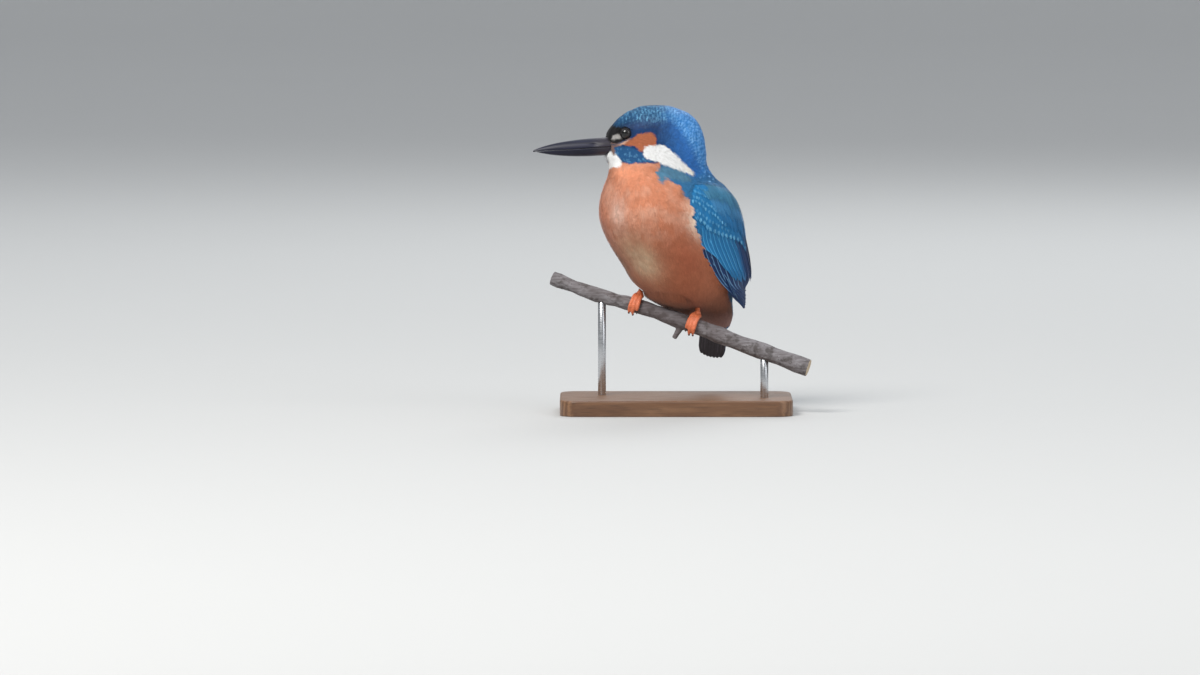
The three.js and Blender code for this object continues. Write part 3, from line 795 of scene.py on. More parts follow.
def flowAt(points, normals):
    # the way the feathers lie: out from the bill over the head, and down the body
    z = points[:, 2] / mm
    fromBill = unit(points - billRoot)
    back, _, _ = headPlace(points)
    fromBill[:, 2] -= flow["droop"] + flow["behindDroop"] * smoothStep(back, *flow["behind"])
    down = np.tile(unit(flow["down"]), (len(points), 1))
    way = blend(down, unit(fromBill), smoothStep(z, *flow["fromBill"]))
    way = way - normals * np.sum(way * normals, axis=1, keepdims=True)
    return unit(way)


def nearestSkin(points):
    places, normals, faces = np.zeros_like(points), np.zeros_like(points), np.zeros(len(points), int)
    for i, p in enumerate(points):
        place, normal, face, _ = skinTree.find_nearest(Vector(p))
        places[i], normals[i], faces[i] = place, normal, face
    return places, normals, faces


# nearest that shafts and roots come to the middle of an eye, and how a shaft is cut short
eyeClear = {"shafts": 3.12 * mm, "roots": 3.05 * mm, "smallTo": 8 * mm}
cutShort = {"least": 0.3, "back": 0.4}


def fromEyes(points):
    # distance to the middle of the nearer eye
    return np.minimum(np.linalg.norm(points - eyeMiddle[1], axis=-1),
                      np.linalg.norm(points - eyeMiddle[-1], axis=-1))


def shaftsFrom(roots, length, steps, sway=None, stayOn=None):
    # walks each shaft over the skin, one step at a time
    # shafts that leave the wanted parts or run onto an eye are shortened
    here, normal, face = nearestSkin(roots)
    path, lifts, parts = [here], [normal], [faceOwner[face]]
    firstFace = face
    for _ in range(steps - 1):
        way = flowAt(here, normal)
        if sway is not None:
            way = unit(way + np.cross(normal, way) * sway[:, None])
        here, normal, face = nearestSkin(here + way * (length / (steps - 1))[:, None])
        path.append(here)
        lifts.append(unit(lifts[-1] + normal))
        parts.append(faceOwner[face])
    path, lifts = np.stack(path, 1), np.stack(lifts, 1)
    if stayOn is not None:
        off = ~np.isin(np.stack(parts, 1), stayOn) | (fromEyes(path) < eyeClear["shafts"])
        first = np.where(off.any(axis=1), off.argmax(axis=1), steps)
        short = np.flatnonzero(first < steps)
        if len(short):
            cutLength = length[short] * np.maximum(cutShort["least"],
                                                   (first[short] - cutShort["back"]) / (steps - 1))
            bent = None if sway is None else sway[short]
            path[short], lifts[short], _ = shaftsFrom(roots[short], cutLength, steps, bent)
    return path, lifts, firstFace


def softenNormals(obj, rested, softness):
    # shades loose feathers partly as the smooth body that they lie on
    own = np.zeros(len(obj.data.vertices) * 3, np.float32)
    obj.data.vertex_normals.foreach_get("vector", own)
    mixed = unit(own.reshape(-1, 3) * (1 - softness) + rested * softness)
    obj.data.normals_split_custom_set_from_vertices(mixed.tolist())


def solidVane(count, steps, shape, each, rng):
    # one grid across and down each vane, ending in short teeth
    columns = shape["columns"]
    across = np.linspace(-1, 1, columns)[None, None, :]
    down = np.linspace(0, 1, steps)[None, :, None]
    along = down * (1 - each("rounding") * np.abs(across) ** 2.4 * down ** 2)
    fray = rng.random((count, 1, columns)) * each("fray")
    along = np.clip(along - fray * down ** 3, 0, 1)
    middle = (across[..., 1:] + across[..., :-1]) / 2
    ends = np.minimum((along[:, -1:, 1:] + along[:, -1:, :-1]) / 2 + each("tooth"), 1.0)
    flat = lambda values: np.broadcast_to(values, (count, *values.shape[1:])).reshape(count, -1)
    u = np.concatenate([flat(across + 0 * down), flat(middle + 0 * ends)], axis=1)
    v = np.concatenate([flat(along), flat(ends)], axis=1)
    grown = np.concatenate([flat(down + 0 * across), flat(np.ones_like(ends))], axis=1)
    row, column = np.meshgrid(np.arange(steps - 1), np.arange(columns - 1), indexing="ij")
    first = (row * columns + column).ravel()
    quads = np.stack([first, first + columns, first + 1 + columns, first + 1], axis=1)
    last = (steps - 1) * columns + np.arange(columns - 1)
    tips = np.stack([last, steps * columns + np.arange(columns - 1), last + 1], axis=1)
    return u, v, grown, np.zeros_like(u), quads, tips


def looseVane(count, steps, shape, each, rng):
    # soft feather: barbs in narrow locks that part from each other and run out to fine points
    locks = shape["locks"]
    center = np.linspace(-1, 1, locks)[None, :, None] * (1 - 1 / locks)
    row = np.concatenate([np.repeat(np.arange(steps - 1), 2), [steps - 1]]) / (steps - 1)
    sign = np.concatenate([np.tile([-1.0, 1.0], steps - 1), [0.0]])
    row, sign = row[None, None, :], sign[None, None, :]
    reach = 1 - each("rounding") * np.abs(center) ** 2 - each("fray") * rng.random((count, locks, 1))
    drift = rng.normal(0, 0.5 / locks, (count, locks, 1)) + center * each("splay")
    half = 1.25 / locks * (1 - 0.6 * row ** 1.5)
    u = center + drift * row ** 2 + sign * half
    v = np.clip(row * reach, 0, 1)
    lift = rng.uniform(-1, 0.6, (count, locks, 1)) * each("lockLift") * row
    each3 = lambda values: np.broadcast_to(values, (count, locks, row.shape[2])).reshape(count, -1)
    size = row.shape[2]
    pair = 2 * np.arange(steps - 2)
    quads = np.stack([pair, pair + 2, pair + 3, pair + 1], axis=1)
    start = (np.arange(locks) * size)[:, None, None]
    quads = (quads + start).reshape(-1, 4)
    tips = (np.array([[size - 3, size - 1, size - 2]]) + start).reshape(-1, 3)
    return each3(u), each3(v), each3(row + 0 * v), each3(lift), quads, tips


def feathers(name, path, lifts, faces, shape, rng):
    # one vane per shaft: path and lifts are (count, steps, 3), shape holds sizes for all or each
    count, steps = path.shape[:2]
    each = lambda key: np.broadcast_to(np.asarray(shape[key], float), (count,))[:, None, None]
    build = looseVane if shape["locks"] else solidVane
    u, v, grown, lifted, quads, tips = build(count, steps, shape, each, rng)
    flat = lambda key: each(key)[:, :, 0]

    def onShaft(values, at):
        knot = at * (steps - 1)
        low = np.minimum(knot.astype(int), steps - 2)
        share = (knot - low)[..., None]
        number = np.arange(count)[:, None]
        return values[number, low] * (1 - share) + values[number, low + 1] * share

    sideways = unit(np.cross(lifts, np.gradient(path, axis=1)))
    place, lift, side = onShaft(path, v), onShaft(lifts, v), onShaft(sideways, v)
    opened = np.sin(np.clip(grown * 1.15, 0, 1) * math.pi / 2) ** 1.2
    half = flat("width") / 2 * (flat("neckWidth") + (1 - flat("neckWidth")) * opened) * (
        1 - flat("taper") * grown ** 3)
    rise = flat("low") + (flat("high") - flat("low")) * grown ** flat("rise")
    height = rise - flat("arch") * u ** 2 * half + flat("curl") * u * half + lifted
    points = place + side * ((u + flat("skew")) * half)[..., None] + lift * height[..., None]
    perFeather = u.shape[1]
    shift = (np.arange(count) * perFeather)[:, None, None]
    obj = meshObject(name, points.reshape(-1, 3),
                     [(quads + shift).reshape(-1, 4), (tips + shift).reshape(-1, 3)])
    softenNormals(obj, unit(lift.reshape(-1, 3)), shape["softness"])

    local = np.stack([np.clip((u + 1) / 2, 0, 1), grown], axis=2)
    uvLayer(obj, "OFBake", (skinUv[faces][:, None] + (local - 0.5) * bakePatch).reshape(-1, 2))
    uvLayer(obj, "vane", local.reshape(-1, 2))
    tint = np.broadcast_to(shape["tint"], (count, 3)) * (
        1 + shape["unevenness"] * rng.standard_normal(count))[:, None]
    # painted shade: each feather darkens towards its root, where the feathers over it cover it
    fade = shape["rootShade"] + (1 - shape["rootShade"]) * np.clip(grown * 1.4, 0, 1)
    if shape["locks"]:
        uneven = np.repeat(rng.standard_normal((count, shape["locks"])), perFeather // shape["locks"], axis=1)
        fade = fade * (1 + shape["unevenness"] * uneven)
    colorLayer(obj, "plumage", np.clip((tint[:, None, :] * fade[..., None]).reshape(-1, 3), 0, 1))
    colorLayer(obj, "tipTint", np.repeat(np.broadcast_to(shape["tipTint"], (count, 3)), perFeather, axis=0))
    valueLayer(obj, "spot", np.repeat(np.broadcast_to(shape["spot"], (count,)), perFeather))
    print(name + ":", count, "feathers,", count * (2 * len(quads) + len(tips)), "triangles")
    return obj


bakePatch = 0.003
plainVane = {"columns": 6, "rounding": 0.32, "fray": 0.10, "neckWidth": 0.35, "taper": 0.12, "low": 0.1 * mm,
             "high": 0.9 * mm, "rise": 0.8, "arch": 0.28, "curl": 0.0, "skew": 0.0, "tooth": 0.05,
             "unevenness": 0.07, "rootShade": 0.55, "softness": 0.55, "tipTint": (1, 1, 1), "spot": 0.0,
             "width": 3 * mm, "locks": 0, "splay": 0.0, "lockLift": 0.0}


def featherFinish(name, roughness, barbs, shaft, sheen, spotAt=(0.86, 0.1, 0.3), edge=0.0):
    # barbs slant from the shaft, a fine shaft line, and a lighter spot near the tip where there is one
    finish = Finish(name, Roughness=roughness, Sheen_Weight=sheen, Sheen_Roughness=0.4,
                    Specular_IOR_Level=0.3)
    uv = finish.add("ShaderNodeUVMap", uv_map="vane").outputs[0]
    parts = finish.add("ShaderNodeSeparateXYZ", {0: uv})
    fromShaft = finish.math("ABSOLUTE", finish.math("SUBTRACT", parts.outputs[0], 0.5))
    slant = finish.math("SUBTRACT", parts.outputs[1], finish.math("MULTIPLY", fromShaft, 0.55))
    lines = finish.add("ShaderNodeCombineXYZ", {0: finish.math("MULTIPLY", fromShaft, 3.0),
                                                1: finish.math("MULTIPLY", slant, 46.0)}).outputs[0]
    fine = finish.stretched(finish.place(), (700, 700, 700))
    shift = finish.add("ShaderNodeVectorMath", {0: lines, 1: fine}, operation="ADD").outputs[0]
    barb = finish.noise(shift, 1.0, 2.0)
    shade = finish.ramp(barb, 0.3, 0.7, 1 - barbs, 1.0)
    base = finish.mix(shade, (0.0, 0.0, 0.0), finish.layer("plumage"))
    away = finish.math("POWER", finish.math("DIVIDE", finish.math("SUBTRACT", parts.outputs[1], spotAt[0]),
                                            spotAt[1]), 2.0)
    aside = finish.math("POWER", finish.math("DIVIDE", fromShaft, spotAt[2]), 2.0)
    spotMask = finish.math("MULTIPLY", finish.ramp(finish.math("ADD", away, aside), 0.3, 1.6, 1.0, 0.0),
                           finish.layer("spot", "Fac"))
    base = finish.mix(spotMask, base, finish.layer("tipTint"))
    if edge > 0:
        base = finish.mix(finish.ramp(fromShaft, 0.34, 0.45, 0.0, edge), base, finish.layer("tipTint"))
    line = finish.ramp(fromShaft, 0.015, 0.045, shaft, 0.0)
    finish.color(finish.mix(line, base, (0.01, 0.01, 0.012)))
    finish.bump(barb, 0.35, 0.0001)
    return finish


billForm = {"length": 35.1, "over": 4.1, "under": 4.7, "halfWidth": 4.4, "droop": 3.8, "root": 4.0,
            "gape": -0.5, "slit": 0.22, "stations": 84, "arc": 22, "inside": 0.04, "tipWidth": 0.2,
            "fullness": 1.12, "keel": 0.12, "keelWidth": 0.22, "hollow": 0.12}
nostril = {"at": 4.6, "long": 1.9, "high": 0.34, "slant": 0.03, "wide": 0.1, "depth": 0.16}
billTip = max(pointsOf(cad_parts["bill_upper"].data), key=lambda p: p @ headFront)
billDroop = math.radians(billForm["droop"])
billAxis = math.cos(billDroop) * headFront - math.sin(billDroop) * zAxis
billRoot = billTip - billAxis * billForm["length"] * mm

faceOwner = owners[skinFaces[:, 0]]
faceMiddle = skinPoints[skinFaces].mean(axis=1)
faceBack, faceUp, _ = headPlace(faceMiddle)
faceZ = faceMiddle[:, 2] / mm
faceNormal = unit(np.cross(skinPoints[skinFaces[:, 2]] - skinPoints[skinFaces[:, 0]],
                           skinPoints[skinFaces[:, 3]] - skinPoints[skinFaces[:, 1]]))
faceTurn = np.abs(turnRound(faceMiddle, wingAxisAt(faceMiddle[:, 2])))
onBody = np.isin(faceOwner, torsoNumbers)
onFoldedWing = np.isin(faceOwner, wingNumbers)
isBlue = blueSide(faceMiddle) > 0
nearEyes = fromEyes(faceMiddle) < eyeClear["roots"]


def coat(name, slot, finish, chosen, spacing, length, width, seed, **changes):
    # small feathers over the chosen faces of the skin: spacing, length and width in mm
    rng = np.random.default_rng(seed)
    given = changes.pop("roots", None)
    roots = rootsOver(rng, spacing * mm, chosen & ~nearEyes) if given is None else given
    reachUp = changes.pop("reachUp", 1.0)
    count = len(roots)
    steps = changes.pop("steps", 4)
    # feathers are smallest round the eyes
    small = 0.5 + 0.5 * smoothStep(fromEyes(roots), eyeClear["shafts"], eyeClear["smallTo"])
    lengths = length * mm * rng.uniform(0.82, 1.15, count) * small
    lean = changes.pop("lean", lambda at: 0.0)(roots)
    sway = rng.normal(0, changes.pop("sway", 0.12), count) + lean
    path, lifts, faces = shaftsFrom(roots, lengths, steps, sway, changes.pop("stayOn", torsoNumbers))
    clear = fromEyes(path).min(axis=1) > eyeClear["shafts"] - 0.1 * mm
    path, lifts, faces, small, count = path[clear], lifts[clear], faces[clear], small[clear], int(clear.sum())
    seen = path[:, -1] * 0.7 + path[:, -2] * 0.3
    deep = depthAt(seen, np.zeros(count, bool), np.zeros(count, bool))
    shape = {**plainVane, "width": width * mm * rng.uniform(0.85, 1.15, count) * small,
             "high": deep * reachUp * rng.uniform(0.94, 1.06, count), "low": deep * 0.25,
             "tint": markings(seen)}
    shape["curl"] = rng.normal(0, changes.pop("curlSpread", 0.05), count)
    for key, value in changes.items():
        shape[key] = value(seen) if callable(value) else value
    return dress(feathers(name, path, lifts, faces, shape, rng), finish, slot)


# soft orange feathers of breast, belly and flanks

breastCoat = {"spacing": 0.64, "length": 5.2, "width": 1.9, "seed": 11}
bellyCoat = {"spacing": 0.68, "length": 5.8, "width": 2.0, "seed": 12}
breastArea = {"low": 84, "high": 122, "bellyHigh": 86}
softFinish = featherFinish("breastFeathers", roughness=0.85, barbs=0.14, shaft=0.0, sheen=0.3)
softVane = {"locks": 5, "steps": 4, "rounding": 0.22, "fray": 0.3, "splay": 0.12, "lockLift": 0.22 * mm,
            "arch": 0.14, "rootShade": 0.9, "unevenness": 0.045, "curlSpread": 0.03, "rise": 0.5,
            "softness": 0.85, "taper": 0.2}
onBreast = onBody & ~isBlue & (faceZ > breastArea["low"]) & (faceZ < breastArea["high"])
coat("breast_feathers", "breast_plumage", softFinish, onBreast, **breastCoat, **softVane)
onBelly = onBody & ~isBlue & (faceZ <= breastArea["bellyHigh"])
coat("belly_feathers", "breast_plumage", softFinish, onBelly, **bellyCoat, **softVane)

# blue feathers of back, neck and crown

backCoat = {"spacing": 0.88, "length": 5.6, "width": 2.2, "seed": 13}
crownCoat = {"spacing": 0.76, "length": 3.2, "width": 1.5, "seed": 14, "sway": 0.05, "reachUp": 0.7}
blueFinish = featherFinish("blueFeathers", roughness=0.58, barbs=0.25, shaft=0.0, sheen=0.05,
                           spotAt=(0.76, 0.17, 0.5))
blueVane = {"locks": 5, "rounding": 0.25, "fray": 0.22, "splay": 0.08, "lockLift": 0.12 * mm,
            "unevenness": 0.07, "rise": 0.55, "softness": 0.75, "arch": 0.18, "rootShade": 0.75}
headFrom = 116
coat("back_feathers", "neck_plumage", blueFinish, onBody & isBlue & (faceZ < headFrom), **backCoat,
     **blueVane)
onCrown = onBody & (faceZ >= headFrom) & ((faceUp > 2.5) | (faceBack > 12) | isBlue & (faceZ < 122))
coat("crown_feathers", "head_plumage", blueFinish, onCrown, **crownCoat, **blueVane)

# feathers with a pale bar, in rows over crown and nape
crownForm = {"rowGap": 1.75, "spotGap": 1.85, "firstRow": 24, "lastRow": 176, "reach": 21.5,
             "centerBack": 15.5, "centerDown": 4, "scatter": 0.16, "length": 3.7, "width": 2.35, "seed": 16}
# clear space in mm between the rows and the head's plain parts
crownArea = {"tipAhead": 3.4, "up": 3.6, "tipUp": 3.2, "back": 13, "above": 117, "patchGap": 0.8,
             "rootGap": 0.5}


def crownRoots():
    # staggered rows that cross the crown from side to side and step back from forehead to nape
    center = faceMiddleAt - headFront * crownForm["centerBack"] * mm - zAxis * crownForm["centerDown"] * mm
    found = []
    rowTurn = crownForm["rowGap"] / crownForm["reach"]
    start, end = math.radians(crownForm["firstRow"]), math.radians(crownForm["lastRow"])
    for row, turn in enumerate(np.arange(start, end, rowTurn)):
        number = max(6, round(2 * math.pi * crownForm["reach"] * math.sin(turn) / crownForm["spotGap"]))
        for k in range(number):
            spin = 2 * math.pi * (k + 0.5 * (row % 2)) / number
            out = (headFront * math.cos(turn)
                   + math.sin(turn) * (zAxis * math.cos(spin) + headLeft * math.sin(spin)))
            hit = skinTree.ray_cast(Vector(center), Vector(out), 0.06)
            if hit[0] is not None:
                found.append(tuple(hit[0]))
    found = np.array(found)
    back, up, _ = headPlace(found)
    tip = found + flowAt(found, unit(found - center)) * crownArea["tipAhead"] * mm
    tipBack, tipUp, _ = headPlace(tip)
    gap = -crownArea["patchGap"]
    crownSide = (up > crownArea["up"]) & (tipUp > crownArea["tipUp"])
    napeSide = (back > crownArea["back"]) & (patch(tipBack, tipUp, neckPatch) < gap) & (
        patch(tipBack, tipUp, earPatch) < gap)
    keep = (crownSide | napeSide) & (found[:, 2] > crownArea["above"] * mm)
    keep &= patch(back, up, neckPatch) < -crownArea["rootGap"]
    keep &= (blueSide(found) > 0) & (patch(tipBack, tipUp, shoulderPatch) < 0)
    jitter = np.random.default_rng(140).normal(0, crownForm["scatter"] * mm, (int(keep.sum()), 3))
    return found[keep] + jitter


def crownBars(points):
    # how strong the pale bar of each feather is; the bars grow stronger towards the back of the nape as a
    # painted highlight along its edge
    back, _, _ = headPlace(points)
    strength = crownRise(points) * (0.72 + 0.1 * smoothStep(back, 20, 31)) * (
        0.5 + 0.5 * smoothStep(back, -11, -3))
    return np.clip((0.05 + 0.74 * strength) * (0.75 + 0.7 * softNoise(points, 1.5 * mm, 9)), 0, 1)


def crownBarTint(points):
    back, _, _ = headPlace(points)
    return blend(colorOf["crownSpot"], colorOf["napeSpot"], smoothStep(back, 12, 28))


coat("crown_spots", "head_plumage", blueFinish, None, 0, crownForm["length"], crownForm["width"],
     crownForm["seed"], roots=crownRoots(), spot=crownBars, tipTint=crownBarTint, sway=0.05, steps=5,
     **{**blueVane, "locks": 7, "rounding": 0.15})


def malarSpots(points):
    # some feathers of the malar stripe have pale blue tips
    back, up, _ = headPlace(points)
    return 0.4 * smoothStep(patch(back, up, malarStripe), 0.3, 1.2) * (softNoise(points, 1.0 * mm, 18) > 0.25)


faceCoat = {"spacing": 0.5, "length": 2.4, "width": 1.0, "seed": 15, "sway": 0.06}
faceFinish = featherFinish("faceFeathers", roughness=0.7, barbs=0.2, shaft=0.0, sheen=0.15,
                           spotAt=(0.8, 0.2, 0.6))
faceVane = {"locks": 4, "fray": 0.25, "splay": 0.1, "lockLift": 0.1 * mm, "rounding": 0.2, "arch": 0.1,
            "rise": 0.5, "softness": 0.85, "rootShade": 0.9}
coat("face_feathers", "head_plumage", faceFinish, onBody & (faceZ >= headFrom) & ~onCrown, unevenness=0.05,
     spot=malarSpots, tipTint=colorOf["crownSpot"], **faceCoat, **faceVane)

# white feathers that stand forward under the bill
chinCoat = {"spacing": 0.36, "length": 2.3, "width": 1.0, "seed": 29, "sway": 0.1}
chinForm = {"foot": 0.5, "stand": 1.3, "near": 4.4, "full": 1.5, "ends": 5.5, "ahead": 0.5, "down": 5.5}
chinFront = billRoot - billAxis * chinForm["ahead"] * mm - zAxis * chinForm["down"] * mm
onChin = onBody & (np.linalg.norm(faceMiddle - chinFront, axis=1) < chinForm["near"] * mm) & (
    patch(faceBack, faceUp, chinPatch) > 0.2)


def chinStand(points):
    away = np.linalg.norm(points - chinFront, axis=1)
    share = 1 - smoothStep(away, chinForm["full"] * mm, chinForm["ends"] * mm)
    return (chinForm["foot"] + chinForm["stand"] * share) * mm


coat("chin_feathers", "head_plumage", faceFinish, onChin, high=chinStand, **chinCoat,
     **{**faceVane, "rise": 0.6, "softness": 0.95, "rootShade": 0.95})

# folded wings: each row of feathers is laid out between the wing's front and rear edges

wingRead = {"from": 51, "to": 117, "step": 2.2, "half": 2.4, "even": 5}
wingPoints = pointsOf(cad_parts["wing_left"].data)
wingAngles = turnRound(wingPoints, wingAxisAt(wingPoints[:, 2]))
edgeHeights = np.arange(wingRead["from"], wingRead["to"], wingRead["step"]) * mm


def wingEdges():
    # turns of the wing's front and rear edges at each height
    lead, trail = [], []
    for z in edgeHeights:
        near = wingAngles[np.abs(wingPoints[:, 2] - z) < wingRead["half"] * mm]
        lead.append(near.min())
        trail.append(near.max())
    span = wingRead["even"]
    even = lambda values: np.convolve(np.pad(values, span // 2, "edge"), np.ones(span) / span, "valid")
    return even(np.array(lead)), even(np.array(trail))


leadEdge, trailEdge = wingEdges()
wingFaces = np.flatnonzero(onFoldedWing)
wingTree = treeOf(skinPoints, skinFaces[wingFaces])


def onWingAt(side, z, turn, margin=1.0, wingOnly=False):
    # place and outward direction on the wing's face at a height and a turn, kept off its free edges
    z = np.asarray(z, float)
    low, high = np.interp(z, edgeHeights, leadEdge), np.interp(z, edgeHeights, trailEdge)
    inset = np.minimum(margin, (high - low) * 0.4)
    free = z < wingFold["start"]
    turn = np.where(free, np.clip(turn, low + inset, high - inset), turn)
    turn = np.radians(turn) * side
    way = np.cos(turn)[:, None] * bodyFront + np.sin(turn)[:, None] * bodyLeft
    centers = wingAxisAt(z)
    places, normals, faces = np.zeros_like(centers), np.zeros_like(centers), np.zeros(len(z), int)
    for i, (center, out) in enumerate(zip(centers, way)):
        tree = wingTree if wingOnly else skinTree
        hit = tree.ray_cast(Vector(center + out * 0.07), Vector(-out), 0.07)
        if hit[0] is None:
            hit = tree.find_nearest(Vector(center + out * 0.03))
        places[i], normals[i], faces[i] = hit[0], hit[1], wingFaces[hit[2]] if wingOnly else hit[2]
    return places, normals, faces


# each row: roots, middles and tips as (height, turn) from the wing's front edge to its rear
# width, low and high in mm, and spot and high run from the row's first feather to its last
wingRows = {
    "primaries": {"count": 9, "roots": [(90, 77), (89, 80), (88, 85), (87, 92), (86, 102), (84, 112)],
                  "middles": [(70, 84), (69.5, 89), (69.5, 94), (69, 100), (68, 109), (67, 118)],
                  "tips": [(50.8, 137), (50.6, 139), (51.6, 140), (53.5, 141), (56.5, 141), (60, 140)],
                  "width": 3.8, "low": 0.15, "high": (0.3, 0.6), "skew": 0.12, "tint": "wingLow",
                  "edge": "primaryEdge", "taper": 0.6, "margin": 4.0},
    "secondaries": {"count": 14, "roots": [(93, 81), (92.5, 87), (91.5, 93), (90.5, 101), (89.5, 108.5),
                                           (88.5, 117), (87, 126), (86, 131), (85, 136)],
                    "middles": [(87, 81.5), (84.5, 87.5), (80, 95), (78.3, 103.5), (77.5, 110.5), (77, 119),
                                (76, 126.5), (75.5, 132), (75, 137)],
                    "tips": [(81, 86), (77.5, 95), (70, 104), (66.6, 114), (65.8, 119.5), (66.5, 124),
                             (65.5, 130), (65.2, 135), (66, 139)],
                    "width": 4.2, "low": 0.35, "high": (0.6, 0.95), "skew": 0.12, "edge": "wingEdge",
                    "darkFrom": 126, "taper": 0.3, "margin": 3.0},
    "tertials": {"count": 8, "roots": [(91, 134), (93, 145), (94, 153), (93, 161)],
                 "tips": [(64.5, 141), (66.5, 148), (70.5, 155), (75, 161)],
                 "width": 4.6, "low": 0.5, "high": (0.95, 0.7), "edge": "wingLow", "tint": "wingLow",
                 "taper": 0.3, "margin": 2.0},
    "greaterCoverts": {"count": 14, "roots": [(104.5, 76), (102.5, 82), (101, 87), (99, 93), (97.5, 99),
                                              (96, 105), (95, 112), (94, 119), (92.5, 126), (89, 133)],
                       "tips": [(97, 78.5), (94.6, 83.5), (92.4, 87.5), (90.4, 93), (89, 100), (87.6, 105.5),
                                (86.6, 112), (85.6, 119.5), (84, 126.5), (80.3, 133.5)],
                       "width": 3.6, "low": 0.45, "high": (0.7, 0.9), "spot": (0.85, 1.0)},
    "smallCoverts": {"count": 13, "roots": [(108, 75), (106.5, 81), (104.5, 87), (102, 93), (100, 99),
                                            (98.5, 105), (97, 111), (96, 117)],
                     "tips": [(101.4, 75), (99.4, 80), (97.5, 86), (95.5, 92.5), (93.8, 98.5), (92.3, 104),
                              (90.8, 110), (89.8, 117)],
                     "width": 3.1, "low": 0.5, "high": (0.72, 0.86), "spot": (0.7, 0.25)},
    "medianCoverts": {"count": 12, "roots": [(112, 78), (110.8, 83), (108.5, 88), (106.8, 92.5), (105, 98),
                                             (103.2, 102), (101.4, 106), (99.8, 110.5)],
                      "tips": [(105.2, 76), (104.4, 82), (102.8, 87.5), (100.5, 91.6), (98.8, 97.8),
                               (97, 101.6), (95, 105.4), (93.2, 110)],
                      "width": 2.9, "low": 0.52, "high": (0.76, 0.88), "spot": (0.8, 1.0)},
    "lesserCovertsLow": {"count": 10, "roots": [(113.5, 81), (112, 86), (110, 91), (108, 97), (106.2, 102)],
                         "tips": [(108, 78.5), (106.6, 84.5), (104.6, 90), (102.6, 96.5), (100.6, 101.5)],
                         "width": 2.8, "low": 0.55, "high": (0.8, 0.9), "spot": (0.55, 0.75)},
    "lesserCovertsHigh": {"count": 8, "roots": [(115, 85), (114, 90), (111.5, 98)],
                          "tips": [(110.4, 82), (109.2, 88), (107, 96)],
                          "width": 2.6, "low": 0.6, "high": (0.84, 0.92), "spot": (0.35, 0.6)},
    "marginalCoverts": {"count": 6, "roots": [(115.6, 93), (115.2, 97), (114.5, 103)],
                        "tips": [(112.4, 87), (111.8, 92), (110.6, 99)],
                        "width": 2.5, "low": 0.6, "high": (0.86, 0.94), "spot": (0.2, 0.3)},
    "lowScapulars": {"count": 12, "roots": [(102, 106), (102, 113), (101, 121), (99, 129), (96, 140),
                                            (95, 158)],
                     "tips": [(95, 107.5), (91.8, 113), (89, 120.5), (87, 128), (85.5, 140), (86, 158)],
                     "width": 3.8, "low": 0.6, "high": (0.88, 0.98), "tint": "scapularLow", "scatter": 2},
    "longScapulars": {"count": 12, "roots": [(108, 101), (108.5, 109), (108, 119), (106, 130), (103, 141),
                                             (100, 156)],
                      "tips": [(100.8, 102.5), (98, 109), (95.6, 118), (93.2, 127.5), (91.5, 138), (91, 156)],
                      "width": 3.9, "low": 0.62, "high": (0.92, 1.0), "tint": "scapular", "scatter": 2.5},
    "scapulars": {"count": 12, "roots": [(114.5, 95), (115.5, 106), (115.5, 118), (114, 130), (110, 142),
                                         (107, 152)],
                  "tips": [(106.8, 98.5), (104.6, 106), (102.6, 116), (100.5, 126.5), (98, 137), (96, 148)],
                  "width": 3.9, "low": 0.65, "high": (0.95, 1.05), "tint": "shoulder", "scatter": 2.5},
}
flightRows = ("primaries", "secondaries", "tertials")
scapularRows = ("lowScapulars", "longScapulars", "scapulars")
wingVanes = {"flight": {"columns": 9, "rounding": 0.22, "fray": 0.03, "tooth": 0.015, "arch": 0.03,
                        "curl": -0.08, "softness": 0.5},
             "covert": {"locks": 7, "rounding": 0.28, "fray": 0.1, "splay": 0.04, "lockLift": 0.04 * mm,
                        "arch": 0.06, "softness": 0.6},
             "scapular": {"locks": 9, "rounding": 0.3, "fray": 0.22, "splay": 0.06, "lockLift": 0.1 * mm,
                          "arch": 0.08, "softness": 0.75}}
wingVane = {**plainVane, "rootShade": 0.8, "unevenness": 0.06, "rise": 0.6, "neckWidth": 0.5}
wingForm = {"steps": 14, "evenings": 2, "darkSoft": 3, "rootScatter": (0.2, 0.5), "tipScatter": (0.25, 0.6)}
wingFinish = featherFinish("wingCoverts", roughness=0.52, barbs=0.25, shaft=0.1, sheen=0.05,
                           spotAt=(0.82, 0.13, 0.26))
flightFinish = featherFinish("flightFeathers", roughness=0.48, barbs=0.3, shaft=0.35, sheen=0.05, edge=0.85)


def alongRow(knots, share):
    # heights and turns between the knots of a row
    knots = np.array(knots, float)
    at = np.linspace(0, 1, len(knots))
    return np.stack([np.interp(share, at, knots[:, 0]), np.interp(share, at, knots[:, 1])], axis=1)


